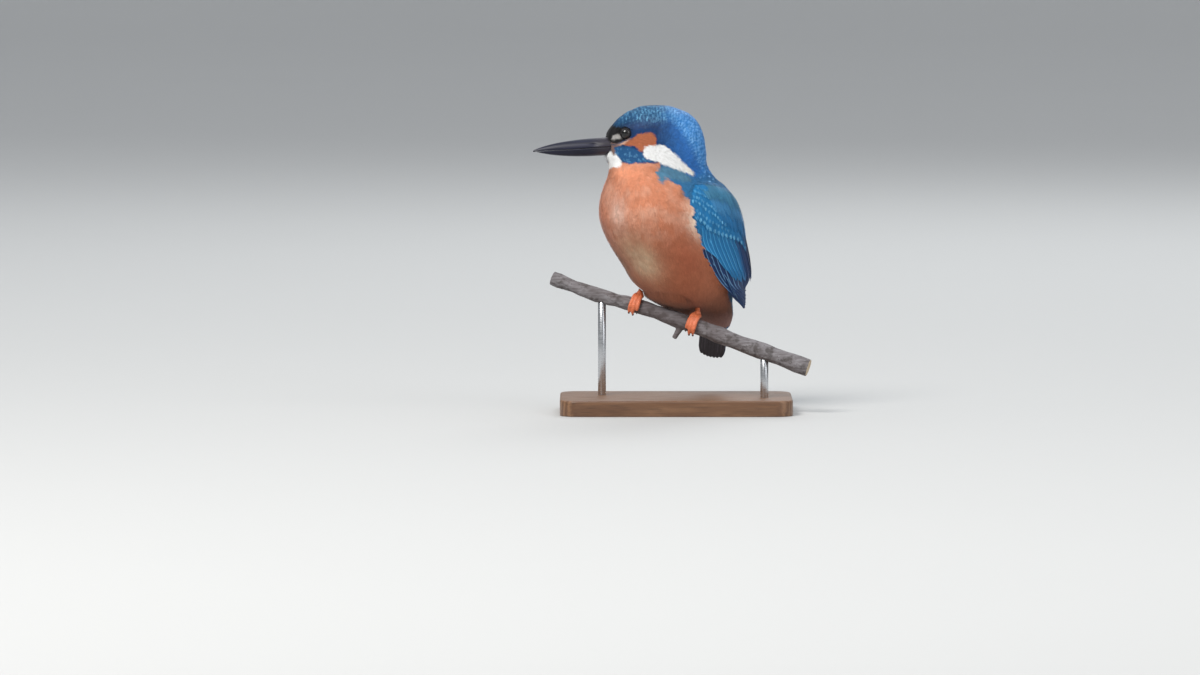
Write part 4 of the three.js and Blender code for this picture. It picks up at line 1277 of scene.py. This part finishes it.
def wingFeathers(name, side, rows, kind, finish, seed):
    rng = np.random.default_rng(seed)
    steps = wingForm["steps"]
    paths, lifts, faces, shapes = [], [], [], []
    for rowName in rows:
        row = wingRows[rowName]
        count = row["count"]
        share = np.linspace(0, 1, count)
        scatter = row.get("scatter", 1.0)
        rootHigh, rootTurn = wingForm["rootScatter"]
        tipHigh, tipTurn = wingForm["tipScatter"]
        start = alongRow(row["roots"], share) + rng.normal(0, [rootHigh * scatter, rootTurn], (count, 2))
        end = alongRow(row["tips"], share) + rng.normal(0, [tipHigh * scatter, tipTurn * scatter], (count, 2))
        middle = alongRow(row["middles"], share) if "middles" in row else (start + end) / 2
        # each shaft curves through its middle
        t = np.linspace(0, 1, steps)[None, :, None]
        curve = (start[:, None] * (1 - t) * (1 - 2 * t) + middle[:, None] * 4 * t * (1 - t)
                 + end[:, None] * t * (2 * t - 1))
        place, normal, face = onWingAt(side, curve[..., 0].ravel() * mm, curve[..., 1].ravel(),
                                       row.get("margin", 1.0), rowName in flightRows)
        path, lift = place.reshape(count, steps, 3), unit(normal.reshape(count, steps, 3))
        for _ in range(wingForm["evenings"]):
            path[:, 1:-1] = path[:, 1:-1] * 0.5 + (path[:, 2:] + path[:, :-2]) * 0.25
            lift[:, 1:-1] = lift[:, 1:-1] * 0.5 + (lift[:, 2:] + lift[:, :-2]) * 0.25
        paths.append(path)
        lifts.append(unit(lift))
        faces.append(face.reshape(count, steps)[:, 0])
        tint = np.tile(colorOf[row.get("tint", "wing")], (count, 1))
        edge = np.tile(colorOf[row.get("edge", "wingSpot")], (count, 1))
        if "darkFrom" in row:
            dark = smoothStep(end[:, 1], row["darkFrom"] - wingForm["darkSoft"],
                              row["darkFrom"] + wingForm["darkSoft"])
            tint, edge = blend(tint, colorOf["wingLow"], dark), blend(edge, colorOf["wingLow"], dark)
        spots = np.interp(share, [0, 1], row.get("spot", (0.0, 0.0))) * rng.uniform(0.35, 1.15, count)
        shapes.append({"width": row["width"] * mm * rng.uniform(0.9, 1.1, count),
                       "low": np.full(count, row["low"] * mm),
                       "high": np.interp(share, [0, 1], row["high"]) * mm,
                       "spot": np.clip(spots, 0, 1),
                       "taper": np.full(count, row.get("taper", 0.15)),
                       "skew": np.full(count, row.get("skew", 0.0) * side),
                       "tint": tint, "tipTint": edge})
    merged = {key: np.concatenate([s[key] for s in shapes]) for key in shapes[0]}
    shape = {**wingVane, **wingVanes[kind], **merged}
    shape["curl"] = shape["curl"] * side
    obj = feathers(name, np.concatenate(paths), np.concatenate(lifts), np.concatenate(faces), shape, rng)
    return dress(obj, finish, "wing_plumage")


covertRows = [name for name in wingRows if name not in flightRows + scapularRows]
for side, label in ((1, "left"), (-1, "right")):
    wingFeathers("flight_feathers_" + label, side, flightRows, "flight", flightFinish, 21)
    wingFeathers("wing_coverts_" + label, side, covertRows, "covert", wingFinish, 22)
    wingFeathers("scapular_feathers_" + label, side, scapularRows, "scapular", wingFinish, 24)

# small blue feathers under the rows, so that no skin shows between them
underCoat = {"spacing": 1.3, "length": 3.2, "width": 2.4, "seed": 23, "high": 0.22 * mm, "low": 0.05 * mm}
underFrom = 88
coat("wing_under_feathers", "wing_plumage", wingFinish, onFoldedWing & (faceZ > underFrom), tint=wingShade,
     rounding=0.3, fray=0.05, softness=0.6, stayOn=wingNumbers, **underCoat)

# small dark feathers on the rear of the folded wings
rearCoat = {"spacing": 1.2, "length": 4.6, "width": 2.4, "seed": 26, "high": 0.3 * mm, "low": 0.05 * mm}
rearArea = {"low": 72, "high": 92, "turn": 157}
onRear = (onFoldedWing & (faceZ <= rearArea["high"]) & (faceZ > rearArea["low"])
          & (faceTurn > rearArea["turn"]))
coat("wing_rear_feathers", "wing_plumage", wingFinish, onRear, tint=wingShade, stayOn=wingNumbers, **rearCoat,
     **{**wingVanes["covert"], "rounding": 0.2})

# orange flank feathers that lie over the front edge of each wing
flankCoat = {"spacing": 0.66, "length": 5.0, "width": 1.8, "seed": 25, "reachUp": 1.05}
flankForm = {"high": 106, "low": 84, "ahead": 10, "over": 1, "lean": 0.45, "toneFrom": 2.5}
leadThere = np.interp(faceMiddle[:, 2], edgeHeights, leadEdge)
onFlank = onBody & (faceZ > flankForm["low"]) & (faceZ < flankForm["high"]) & (
    faceTurn > leadThere - flankForm["ahead"]) & (faceTurn < leadThere + flankForm["over"])
coat("flank_feathers", "breast_plumage", softFinish, onFlank, stayOn=torsoNumbers + wingNumbers,
     lean=lambda at: flankForm["lean"] * np.sign(turnRound(at, axisAt(at[:, 2]))),
     tint=lambda p: markings(p + bodyFront * flankForm["toneFrom"] * mm), **flankCoat, **softVane)

# feathers that hang between the legs, down towards the perch, darkened with painted shade
ventCoat = {"spacing": 0.72, "length": 5.6, "width": 2.0, "seed": 27}
ventForm = {"left": -17, "right": 9, "top": 64, "hang": 2.6, "least": 1.2, "level": 0.82}
ventPaintedShadeForm = {"shade": 0.4, "uneven": 0.45, "size": 2, "hang": (1.2, 3.4), "fades": (52, 61)}
ventX = faceMiddle[:, 0] / mm
onVent = onBody & (ventX > ventForm["left"]) & (ventX < ventForm["right"]) & (faceZ < ventForm["top"]) & (
    np.abs(faceNormal[:, 2]) > ventForm["level"])


def ventHang(points):
    # how far the feathers hang, most in the middle between the legs
    x = points[:, 0] / mm
    share = smoothStep(x, ventForm["left"] - 2, ventForm["left"] + 5) * (1 - smoothStep(
        x, ventForm["right"] - 5, ventForm["right"] + 3))
    return (ventForm["least"] + ventForm["hang"] * share) * mm


def ventPaintedShadeTint(points):
    # painted shade: the hanging feathers darken most where they hang lowest between the legs, fading out
    # higher up
    shade = ventPaintedShadeForm["shade"] + ventPaintedShadeForm["uneven"] * softNoise(points, ventPaintedShadeForm["size"] * mm, 28)
    share = smoothStep(ventHang(points) / mm, *ventPaintedShadeForm["hang"]) * (
        1 - smoothStep(points[:, 2] / mm, *ventPaintedShadeForm["fades"]))
    return blend(markings(points), colorOf["ventPaintedShade"], shade * share)


coat("vent_feathers", "breast_plumage", softFinish, onVent, high=ventHang, tint=ventPaintedShadeTint, **ventCoat,
     **{**softVane, "rise": 1.1})
print("coat of feathers made")

# tail: feathers in two layers, blue above and slate below

tailForm = {"root": [20.5, 20, 60], "tip": [17.8, 32, 25.2], "twist": 35, "halfWidth": 7.4, "thick": 3.2,
            "tipThick": 1.6, "rows": 7, "steps": 10, "from": 0.25, "shorter": 0.02, "spread": 0.7,
            "arch": 1.2, "proud": 0.55, "laid": (0.05, 0.2)}
tailVane = {**plainVane, "columns": 9, "width": 4.6 * mm, "rounding": 0.14, "fray": 0.005, "tooth": 0.0,
            "arch": 0.06, "low": 0.0, "neckWidth": 0.75, "unevenness": 0.05, "rootShade": 0.85,
            "softness": 0.1}


def tailAxes():
    root, tip = np.array(tailForm["root"]) * mm, np.array(tailForm["tip"]) * mm
    along = unit(tip - root)
    across = unit(np.cross(along, zAxis))
    turn = math.radians(tailForm["twist"])
    across = across * math.cos(turn) + np.cross(along, across) * math.sin(turn)
    return root, tip, along, across, np.cross(along, across)


def tailFeathers(name, above, seed):
    rng = np.random.default_rng(seed)
    root, tip, _, across, facing = tailAxes()
    outSign = 1 if np.dot(facing, -bodyFront) > 0 else -1
    outSide = facing * outSign * (1 if above else -1)
    steps, count = tailForm["steps"], tailForm["rows"]
    lanes = np.linspace(-1, 1, count)
    lanes = lanes[np.argsort(-np.abs(lanes))] if above else lanes[np.argsort(np.abs(lanes))]
    aside = lanes[:, None, None]
    t = np.linspace(tailForm["from"], 1.0, steps)[None, :, None] * (1 - tailForm["shorter"] * aside ** 2)
    width = tailForm["halfWidth"] * tailForm["spread"] * mm * (0.8 + 0.2 * t)
    arch = -tailForm["arch"] * mm * (aside * 0.8) ** 2 * facing
    half = (tailForm["thick"] * (1 - t) + tailForm["tipThick"] * t) / 2 * mm
    path = root * (1 - t) + tip * t + across * aside * width + arch + outSide * half * tailForm["proud"]
    faces = np.array([skinTree.find_nearest(Vector(p))[2] for p in path[:, 0]])
    tint = np.tile(colorOf["tailAbove" if above else "tailBelow"], (count, 1))
    shape = {**tailVane, "high": np.linspace(*tailForm["laid"], count) * mm, "tint": tint,
             "tipTint": tint * 1.5}
    obj = feathers(name, path, np.tile(outSide, (count, steps, 1)), faces, shape, rng)
    return dress(obj, flightFinish, "tail_plumage")


tailFeathers("tail_feathers_above", True, 31)
tailFeathers("tail_feathers_below", False, 32)
print("tail made")


# bill: two horn sheaths with a keel, a cutting edge and nostril slits

def billHalf(name, upper):
    form = billForm
    outward = 1 if upper else -1
    edge = outward * form["slit"] / 2 + form["gape"]
    turn = np.linspace(0, math.pi, form["arc"])
    inner = np.linspace(-1, 1, 8)[1:-1]
    rings = []
    for i in range(form["stations"]):
        x = -form["root"] + (form["length"] * 0.997 + form["root"]) * (i / (form["stations"] - 1)) ** 0.92
        share = max(0.0, x / form["length"])
        over = form["over"] * (1 - share ** 2.5) ** 0.8 - form["inside"]
        under = form["under"] * (1 - share ** 2.2) ** 0.8 - form["inside"]
        half = form["halfWidth"] * (1 - share) ** 0.72 + form["tipWidth"]
        y = half * np.sign(np.cos(turn)) * np.abs(np.cos(turn)) ** form["fullness"]
        reach = over - edge if upper else under + edge
        rise = np.abs(np.sin(turn)) ** form["fullness"] * reach
        if upper:
            # nostril: a slanting slit low on the side near the root
            along = x - nostril["at"]
            off = rise / reach - nostril["high"] - nostril["slant"] * along
            dent = math.exp(-(along / nostril["long"]) ** 2) * np.exp(-(off / nostril["wide"]) ** 2)
            y = y * (1 - nostril["depth"] * dent)
        keel = np.exp(-(y / (form["keelWidth"] * half + 0.05)) ** 2) * form["keel"] * min(1, (1 - share) * 3)
        z = edge + outward * (rise + keel * (rise > reach * 0.9))
        hollow = outward * form["hollow"] * (1 - inner ** 2) * min(1, (1 - share) * 4)
        ring = np.concatenate([np.stack([y, z], 1), np.stack([inner * half * 0.9, edge + hollow], 1)])
        rings.append(np.column_stack([np.full(len(ring), x), ring]))
    count, ringSize = form["stations"], len(rings[0])
    local = np.concatenate(rings + [[[form["length"] * 0.9995, 0, edge]], [[-form["root"], 0, edge]]])
    up = np.cross(billAxis, headLeft)
    up = up if up[2] > 0 else -up
    points = billRoot + mm * (local[:, :1] * billAxis + local[:, 1:2] * headLeft + local[:, 2:3] * up)
    k = np.arange(ringSize)
    tip, back = count * ringSize, count * ringSize + 1
    ends = np.concatenate([fan((count - 1) * ringSize + k, tip), fan(k, back, True)])
    obj = meshObject(name, points, [ringFaces(count, ringSize), ends])
    evenNormals(obj)
    valueLayer(obj, "along", np.clip(local[:, 0] / form["length"], 0, 1))
    return obj


hornTones = {"dark": (0.006, 0.007, 0.017), "light": (0.012, 0.013, 0.034), "root": (0.07, 0.055, 0.055)}
billFinish = Finish("billHorn", Roughness=0.4, Specular_IOR_Level=0.32)
fibres = billFinish.noise(billFinish.stretched(billFinish.place(), (60, 900, 900)), 1.0, 4.0)
horn = billFinish.mix(billFinish.ramp(fibres, 0.3, 0.75), hornTones["dark"], hornTones["light"])
paleRoot = billFinish.ramp(billFinish.layer("along", "Fac"), 0.0, 0.22, 0.3, 0.0)
billFinish.color(billFinish.mix(paleRoot, horn, hornTones["root"]))
billFinish.roughness(billFinish.ramp(fibres, 0.3, 0.7, 0.34, 0.46))
billFinish.bump(fibres, 0.12, 0.0001)
dress(billHalf("bill_sheath_upper", True), billFinish, "bill_horn", "bill_upper")
dress(billHalf("bill_sheath_lower", False), billFinish, "bill_horn", "bill_lower")
print("bill made")

# eyes: ball with a clear bulge, dark iris and pupil, and a fine lid ring

eyeForm = {"radius": 3.1, "rings": 40, "sides": 56, "inside": 0.985, "bulge": 0.03, "bulgeTurn": 26,
           "openWide": 56, "openHigh": 50, "lidSides": 64}
# section of the lid: out from the edge of the opening and ahead of it, in mm
lidSection = [(-0.1, -0.25), (-0.03, 0.03), (0.03, 0.08), (0.1, 0.05), (0.2, -0.1), (0.45, -0.55),
              (0.4, -1.2), (0.1, -1.0)]


def eyeBall(name, side):
    out, across, up = eyeAxes(side)
    rows, sides = eyeForm["rings"], eyeForm["sides"]
    turn = np.linspace(0, math.pi, rows + 2)[1:-1]
    spin = np.arange(sides) / sides * 2 * math.pi
    bulge = eyeForm["bulge"] * np.exp(-(np.degrees(turn) / eyeForm["bulgeTurn"]) ** 2)
    radius = eyeForm["radius"] * (eyeForm["inside"] + bulge) * mm
    ring = (np.cos(spin)[:, None] * across + np.sin(spin)[:, None] * up)[None]
    body = radius[:, None, None] * (np.cos(turn)[:, None, None] * out + np.sin(turn)[:, None, None] * ring)
    front = out * eyeForm["radius"] * (eyeForm["inside"] + eyeForm["bulge"]) * mm
    rear = -out * eyeForm["radius"] * eyeForm["inside"] * mm
    points = np.concatenate([body.reshape(-1, 3), [front], [rear]]) + eyeMiddle[side]
    k = np.arange(sides)
    ends = np.concatenate([fan(k, rows * sides, True), fan((rows - 1) * sides + k, rows * sides + 1)])
    obj = meshObject(name, points, [ringFaces(rows, sides), ends])
    evenNormals(obj)
    away = np.degrees(np.arccos(np.clip(unit(points - eyeMiddle[side]) @ out, -1, 1)))
    valueLayer(obj, "fromPupil", away)
    return obj


def eyeLid(name, side):
    # narrow rim round the opening that dips under the small feathers
    out, across, up = eyeAxes(side)
    sides = eyeForm["lidSides"]
    spin = np.arange(sides) / sides * 2 * math.pi
    openTurn = np.radians(eyeForm["openHigh"]
                          + (eyeForm["openWide"] - eyeForm["openHigh"]) * np.cos(spin) ** 2)
    ring = np.cos(spin)[:, None] * across + np.sin(spin)[:, None] * up
    edge, wide = eyeForm["radius"] * np.cos(openTurn), eyeForm["radius"] * np.sin(openTurn)
    rows = [((wide + aside)[:, None] * ring + (edge + ahead)[:, None] * out) * mm
            for aside, ahead in lidSection]
    obj = meshObject(name, np.concatenate(rows) + eyeMiddle[side], [ringFaces(len(rows), sides, True)])
    evenNormals(obj)
    return obj


eyeTones = {"pupil": (0.002, 0.002, 0.002), "iris": (0.005, 0.004, 0.004), "irisLight": (0.012, 0.008, 0.008),
            "pupilEdge": (24, 28), "lid": (0.008, 0.008, 0.01), "lidLight": (0.02, 0.019, 0.022)}
eyeFinish = Finish("eyeGloss", Roughness=0.06, Specular_IOR_Level=0.45, Coat_Weight=0.25, Coat_Roughness=0.03)
fromPupil = eyeFinish.layer("fromPupil", "Fac")
iris = eyeFinish.mix(eyeFinish.noise(eyeFinish.place(), 2500.0), eyeTones["iris"], eyeTones["irisLight"])
eyeFinish.color(eyeFinish.mix(eyeFinish.ramp(fromPupil, *eyeTones["pupilEdge"]), eyeTones["pupil"], iris))
lidFinish = Finish("lidSkin", Roughness=0.75, Specular_IOR_Level=0.2)
lidGrain = lidFinish.noise(lidFinish.place(), 3000.0)
lidFinish.color(lidFinish.mix(lidGrain, eyeTones["lid"], eyeTones["lidLight"]))
lidFinish.bump(lidGrain, 0.3, 0.0001)
for side, label in ((1, "left"), (-1, "right")):
    dress(eyeBall("eyeball_" + label, side), eyeFinish, "eye_gloss", "eye_" + label)
    dress(eyeLid("eyelid_" + label, side), lidFinish, "head_plumage")
print("eyes made")

# claws

clawForm = {"rounds": 2, "dark": (0.02, 0.014, 0.012), "light": (0.075, 0.045, 0.035)}


def roundedCopy(name, nodes, levels):
    # smooth copy of frame nodes for what is too small to need its own making
    bm = bmesh.new()
    for node in nodes:
        bm.from_mesh(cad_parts[node].data)
    bmesh.ops.remove_doubles(bm, verts=bm.verts, dist=1e-6)
    mesh = bpy.data.meshes.new(name)
    bm.to_mesh(mesh)
    bm.free()
    obj = bpy.data.objects.new(name, mesh)
    bpy.context.scene.collection.objects.link(obj)
    obj.modifiers.new("round", "SUBSURF").levels = levels
    obj.modifiers["round"].render_levels = levels
    done = bpy.data.meshes.new_from_object(obj.evaluated_get(bpy.context.evaluated_depsgraph_get()))
    obj.modifiers.clear()
    obj.data = done
    done.polygons.foreach_set("use_smooth", np.ones(len(done.polygons), bool))
    return obj


clawFinish = Finish("clawHorn", Roughness=0.3)
clawGrain = clawFinish.noise(clawFinish.stretched(clawFinish.place(), (900, 900, 300)), 1.0)
clawFinish.color(clawFinish.mix(clawGrain, clawForm["dark"], clawForm["light"]))
clawFinish.bump(clawGrain, 0.2, 0.0001)
for label in ("left", "right"):
    nodes = [f"claw_{label}_{i}" for i in range(1, 5)]
    claws = roundedCopy("claws_" + label, nodes, clawForm["rounds"])
    dress(claws, clawFinish, "claw_horn", *nodes)
print("claws made")

# perch: grey bark with ridges, pits and pale cut ends, and a painted shadow of the bird on the bark near the
# feet

perchForm = {"voxel": 0.36 * mm, "rounds": 2, "ridge": 0.06 * mm, "lumps": 0.08 * mm, "pits": 0.16 * mm,
             "cutInset": 0.05 * mm, "endReach": 3.2 * mm, "endFacing": 0.75}
birdShadowForm = {"x": -4 * mm, "spread": 21 * mm, "uneven": 0.35}
p, n, f = remeshed("perch", ["perch"], perchForm["voxel"], 0.0, perchForm["rounds"])
streak = softNoise(p * [0.22, 1, 1], 0.9 * mm, 40)
lumps = softNoise(p, 2.6 * mm, 41)
pits = np.clip(softNoise(p, 1.0 * mm, 42) - 0.45, 0, 1)
inset = (perchForm["ridge"] * (0.5 + 0.5 * streak) + perchForm["lumps"] * (0.5 + 0.5 * lumps)
         + perchForm["pits"] * pits)
fromEnd = np.minimum(p[:, 0] - cadLow[0], cadHigh[0] - p[:, 0])
isCut = (fromEnd < perchForm["endReach"]) & (np.abs(n[:, 0]) > perchForm["endFacing"])
inset = np.where(isCut, perchForm["cutInset"], inset)
perchObject = meshObject("perch_branch", p - n * inset[:, None], [f])
valueLayer(perchObject, "cut", isCut.astype(float))
# painted shadow: the bark darkens round the feet, under the bird
nearFeet = np.exp(-((p[:, 0] - birdShadowForm["x"]) / birdShadowForm["spread"]) ** 2)
valueLayer(perchObject, "birdShadow", np.clip(nearFeet + birdShadowForm["uneven"] * softNoise(p, 5 * mm, 43), 0, 1))

barkTones = {"dark": (0.10, 0.086, 0.086), "light": (0.24, 0.225, 0.235), "blotch": (0.055, 0.045, 0.042),
             "speck": (0.05, 0.042, 0.04), "birdShadowTone": (0.09, 0.066, 0.066), "wood": (0.42, 0.31, 0.2),
             "woodLight": (0.58, 0.47, 0.33)}
barkFinish = Finish("barkGrey", Roughness=0.85)
where = barkFinish.place()
longGrain = barkFinish.noise(barkFinish.stretched(where, (160, 900, 900)), 1.0, 5.0)
blotches = barkFinish.noise(where, 240.0, 4.0)
specks = barkFinish.add("ShaderNodeTexVoronoi", {"Vector": barkFinish.stretched(where, (420, 520, 520)),
                                                 "Scale": 1.0}).outputs["Distance"]
birdShadow = barkFinish.layer("birdShadow", "Fac")
bark = barkFinish.mix(barkFinish.ramp(longGrain, 0.25, 0.75), barkTones["dark"], barkTones["light"])
bark = barkFinish.mix(barkFinish.ramp(blotches, 0.5, 0.66, 0.0, 0.75), bark, barkTones["blotch"])
bark = barkFinish.mix(barkFinish.ramp(specks, 0.10, 0.2, 0.7, 0.0), bark, barkTones["speck"])
# painted shadow of the bird, darkening the bark near the feet
bark = barkFinish.mix(barkFinish.ramp(birdShadow, 0.1, 0.8, 0.0, 0.5), bark, barkTones["birdShadowTone"])
wood = barkFinish.mix(barkFinish.ramp(barkFinish.noise(where, 1400.0), 0.35, 0.65), barkTones["wood"],
                      barkTones["woodLight"])
barkFinish.color(barkFinish.mix(barkFinish.layer("cut", "Fac"), bark, wood))
barkFinish.bump(longGrain, 0.3, 0.0002)
dress(perchObject, barkFinish, "perch_bark", "perch")
print("perch made")

# display stand: oiled wood base and two brushed steel rods

standForm = {"corner": 9, "corners": 12, "bevel": 1.0, "footBevel": 0.4, "cornerShare": 0.6, "rodSides": 64,
             "rodBevel": 0.35}


def roundedLoop(low, high, z, inset):
    # level loop with rounded corners, drawn in from a box
    radius = standForm["corner"] * mm - inset * standForm["cornerShare"]
    x0, x1, y0, y1 = low[0] + inset, high[0] - inset, low[1] + inset, high[1] - inset
    points = []
    for cx, cy, start in ((x1 - radius, y1 - radius, 0), (x0 + radius, y1 - radius, 90),
                          (x0 + radius, y0 + radius, 180), (x1 - radius, y0 + radius, 270)):
        for k in range(standForm["corners"] + 1):
            a = math.radians(start + 90 * k / standForm["corners"])
            points.append((cx + radius * math.cos(a), cy + radius * math.sin(a), z))
    return points


def stacked(name, loops):
    # joins loops of equal count from below to above, with a flat face at each end
    n = len(loops[0])
    points = np.array([p for loop in loops for p in loop])
    ends = np.stack([np.arange(n)[::-1], np.arange(n) + (len(loops) - 1) * n])
    obj = meshObject(name, points, [ringFaces(len(loops), n), ends])
    evenNormals(obj)
    return obj


def makeBase():
    low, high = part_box("stand_base")
    bevel = standForm["bevel"] * mm
    foot = bevel * standForm["footBevel"]
    turns = [math.radians(a) for a in (0, 22.5, 45, 67.5, 90)]
    loops = [roundedLoop(low, high, low.z + foot * (1 - math.cos(a)), foot * (1 - math.sin(a)))
             for a in turns]
    loops += [roundedLoop(low, high, high.z - bevel * (1 - math.sin(a)), bevel * (1 - math.cos(a)))
              for a in turns]
    return stacked("base_block", loops)


def makeRod(label):
    low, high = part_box("stand_rod_" + label)
    center, radius = (low + high) / 2, (high.x - low.x) / 2
    bevel = standForm["rodBevel"] * mm
    turn = np.arange(standForm["rodSides"]) / standForm["rodSides"] * 2 * math.pi
    loops = []
    for z, r in ((low.z, radius - bevel), (low.z + bevel, radius), (high.z - bevel, radius),
                 (high.z, radius - bevel)):
        loops.append([(center.x + r * math.cos(a), center.y + r * math.sin(a), z) for a in turn])
    return stacked("rod_" + label, loops)


standTones = {"wood": (0.12, 0.055, 0.026), "woodLight": (0.24, 0.125, 0.062), "pore": (0.05, 0.022, 0.01),
              "warm": (0.2, 0.1, 0.05), "steel": (0.50, 0.51, 0.53), "steelLight": (0.66, 0.67, 0.69)}
woodFinish = Finish("baseWood", Roughness=0.42, Coat_Weight=0.15, Coat_Roughness=0.3)
where = woodFinish.place()
warp = woodFinish.noise(woodFinish.stretched(where, (6, 30, 30)), 1.0, 3.0)
rings = woodFinish.add("ShaderNodeTexWave", {"Vector": woodFinish.stretched(where, (8, 90, 60)), "Scale": 1.6,
                                             "Distortion": 5.0, "Detail": 4.0, "Detail Scale": 2.0},
                       bands_direction="Y").outputs["Fac"]
pores = woodFinish.noise(woodFinish.stretched(where, (90, 2200, 2200)), 1.0, 2.0)
tone = woodFinish.mix(rings, standTones["wood"], standTones["woodLight"])
tone = woodFinish.mix(woodFinish.ramp(pores, 0.55, 0.7, 0.0, 0.7), tone, standTones["pore"])
woodFinish.color(woodFinish.mix(woodFinish.ramp(warp, 0.3, 0.7, 0.0, 0.4), tone, standTones["warm"]))
woodFinish.roughness(woodFinish.ramp(pores, 0.4, 0.7, 0.34, 0.55))
woodFinish.bump(pores, 0.2, 0.0002)
steelFinish = Finish("rodSteel", Metallic=1.0, Roughness=0.28)
brush = steelFinish.noise(steelFinish.stretched(steelFinish.place(), (200, 200, 6000)), 1.0, 2.0)
steelFinish.color(steelFinish.mix(brush, standTones["steel"], standTones["steelLight"]))
steelFinish.roughness(steelFinish.ramp(brush, 0.3, 0.7, 0.22, 0.36))
steelFinish.bump(brush, 0.1, 0.00005)
dress(makeBase(), woodFinish, "stand_wood", "stand_base")
for label in ("left", "right"):
    dress(makeRod(label), steelFinish, "stand_steel", "stand_rod_" + label)
print("stand made")

# floor, lights and camera

studio = {"floorFlat": 5.5, "floorOut": 11.0, "wall": 7.0, "floorRings": (0.4, 1.5, 3.5), "floorSides": 96,
          "floorColor": (0.5, 0.5, 0.49), "world": (0.90, 0.94, 1.0), "worldStrength": 0.85, "lightsAt": 0.09}


def makeFloor():
    # one wide dish: flat under the model, rising softly far away on every side
    flat, sides = studio["floorFlat"], studio["floorSides"]
    section = [(radius, 0.0) for radius in (*studio["floorRings"], flat)]
    section += [(flat + (studio["floorOut"] - flat) * math.sin(a), studio["wall"] * (1 - math.cos(a)))
                for a in np.linspace(0.12, math.pi / 2, 12)]
    spin = [k / sides * 2 * math.pi for k in range(sides)]
    points = [(radius * math.cos(a), radius * math.sin(a), height)
              for radius, height in section for a in spin]
    points = np.array(points + [(0, 0, 0)])
    rising = ringFaces(len(section), sides)[:, [1, 0, 3, 2]]
    obj = meshObject("studio_floor", points, [rising, fan(np.arange(sides), len(points) - 1)])
    finish = Finish("floorPaper", Roughness=0.9)
    cloud = finish.noise(finish.place(), 3.0, 2.0)
    finish.color(finish.mix(cloud, [c * 0.985 for c in studio["floorColor"]], studio["floorColor"]))
    obj.data.materials.append(finish.material)


makeFloor()
world = bpy.data.worlds.new("studioWorld")
world.use_nodes = True
world.node_tree.nodes["Background"].inputs[0].default_value = (*studio["world"], 1)
world.node_tree.nodes["Background"].inputs[1].default_value = studio["worldStrength"]
bpy.context.scene.world = world
bpy.context.scene.view_settings.view_transform = "Standard"

# each lamp: place, size, power and colour
lamps = {"keyLight": ((-0.9, -1.3, 1.7), 1.1, 47, (1.0, 0.98, 0.95)),
         "fillLight": ((1.5, -1.0, 0.8), 1.4, 8.5, (0.95, 0.97, 1.0)),
         "backLight": ((0.4, 1.6, 1.5), 1.2, 15, (0.95, 0.98, 1.0))}
for name, (place, size, power, tint) in lamps.items():
    light = bpy.data.lights.new(name, "AREA")
    light.shape, light.size, light.energy, light.color = "DISK", size, power, tint
    lamp = bpy.data.objects.new(name, light)
    lamp.location = place
    ahead = Vector((0, 0, studio["lightsAt"])) - lamp.location
    lamp.rotation_euler = ahead.to_track_quat("-Z", "Y").to_euler()
    bpy.context.scene.collection.objects.link(lamp)

cameraForm = {"target": (-0.038, 0.0, 0.0373), "lens": 250, "sensor": 36, "distance": 4.167, "elevation": 4.0,
              "nearest": 0.05, "furthest": 60}
camera = bpy.data.cameras.new("camera")
camera.lens, camera.sensor_width = cameraForm["lens"], cameraForm["sensor"]
camera.clip_start, camera.clip_end = cameraForm["nearest"], cameraForm["furthest"]
cameraObject = bpy.data.objects.new("camera", camera)
lookUp = math.radians(cameraForm["elevation"])
target = Vector(cameraForm["target"])
cameraObject.location = target + Vector((0, -math.cos(lookUp), math.sin(lookUp))) * cameraForm["distance"]
cameraObject.rotation_euler = (target - cameraObject.location).to_track_quat("-Z", "Y").to_euler()
bpy.context.scene.collection.objects.link(cameraObject)
bpy.context.scene.camera = cameraObject
print("floor, lights and camera set")

print("scene ready")
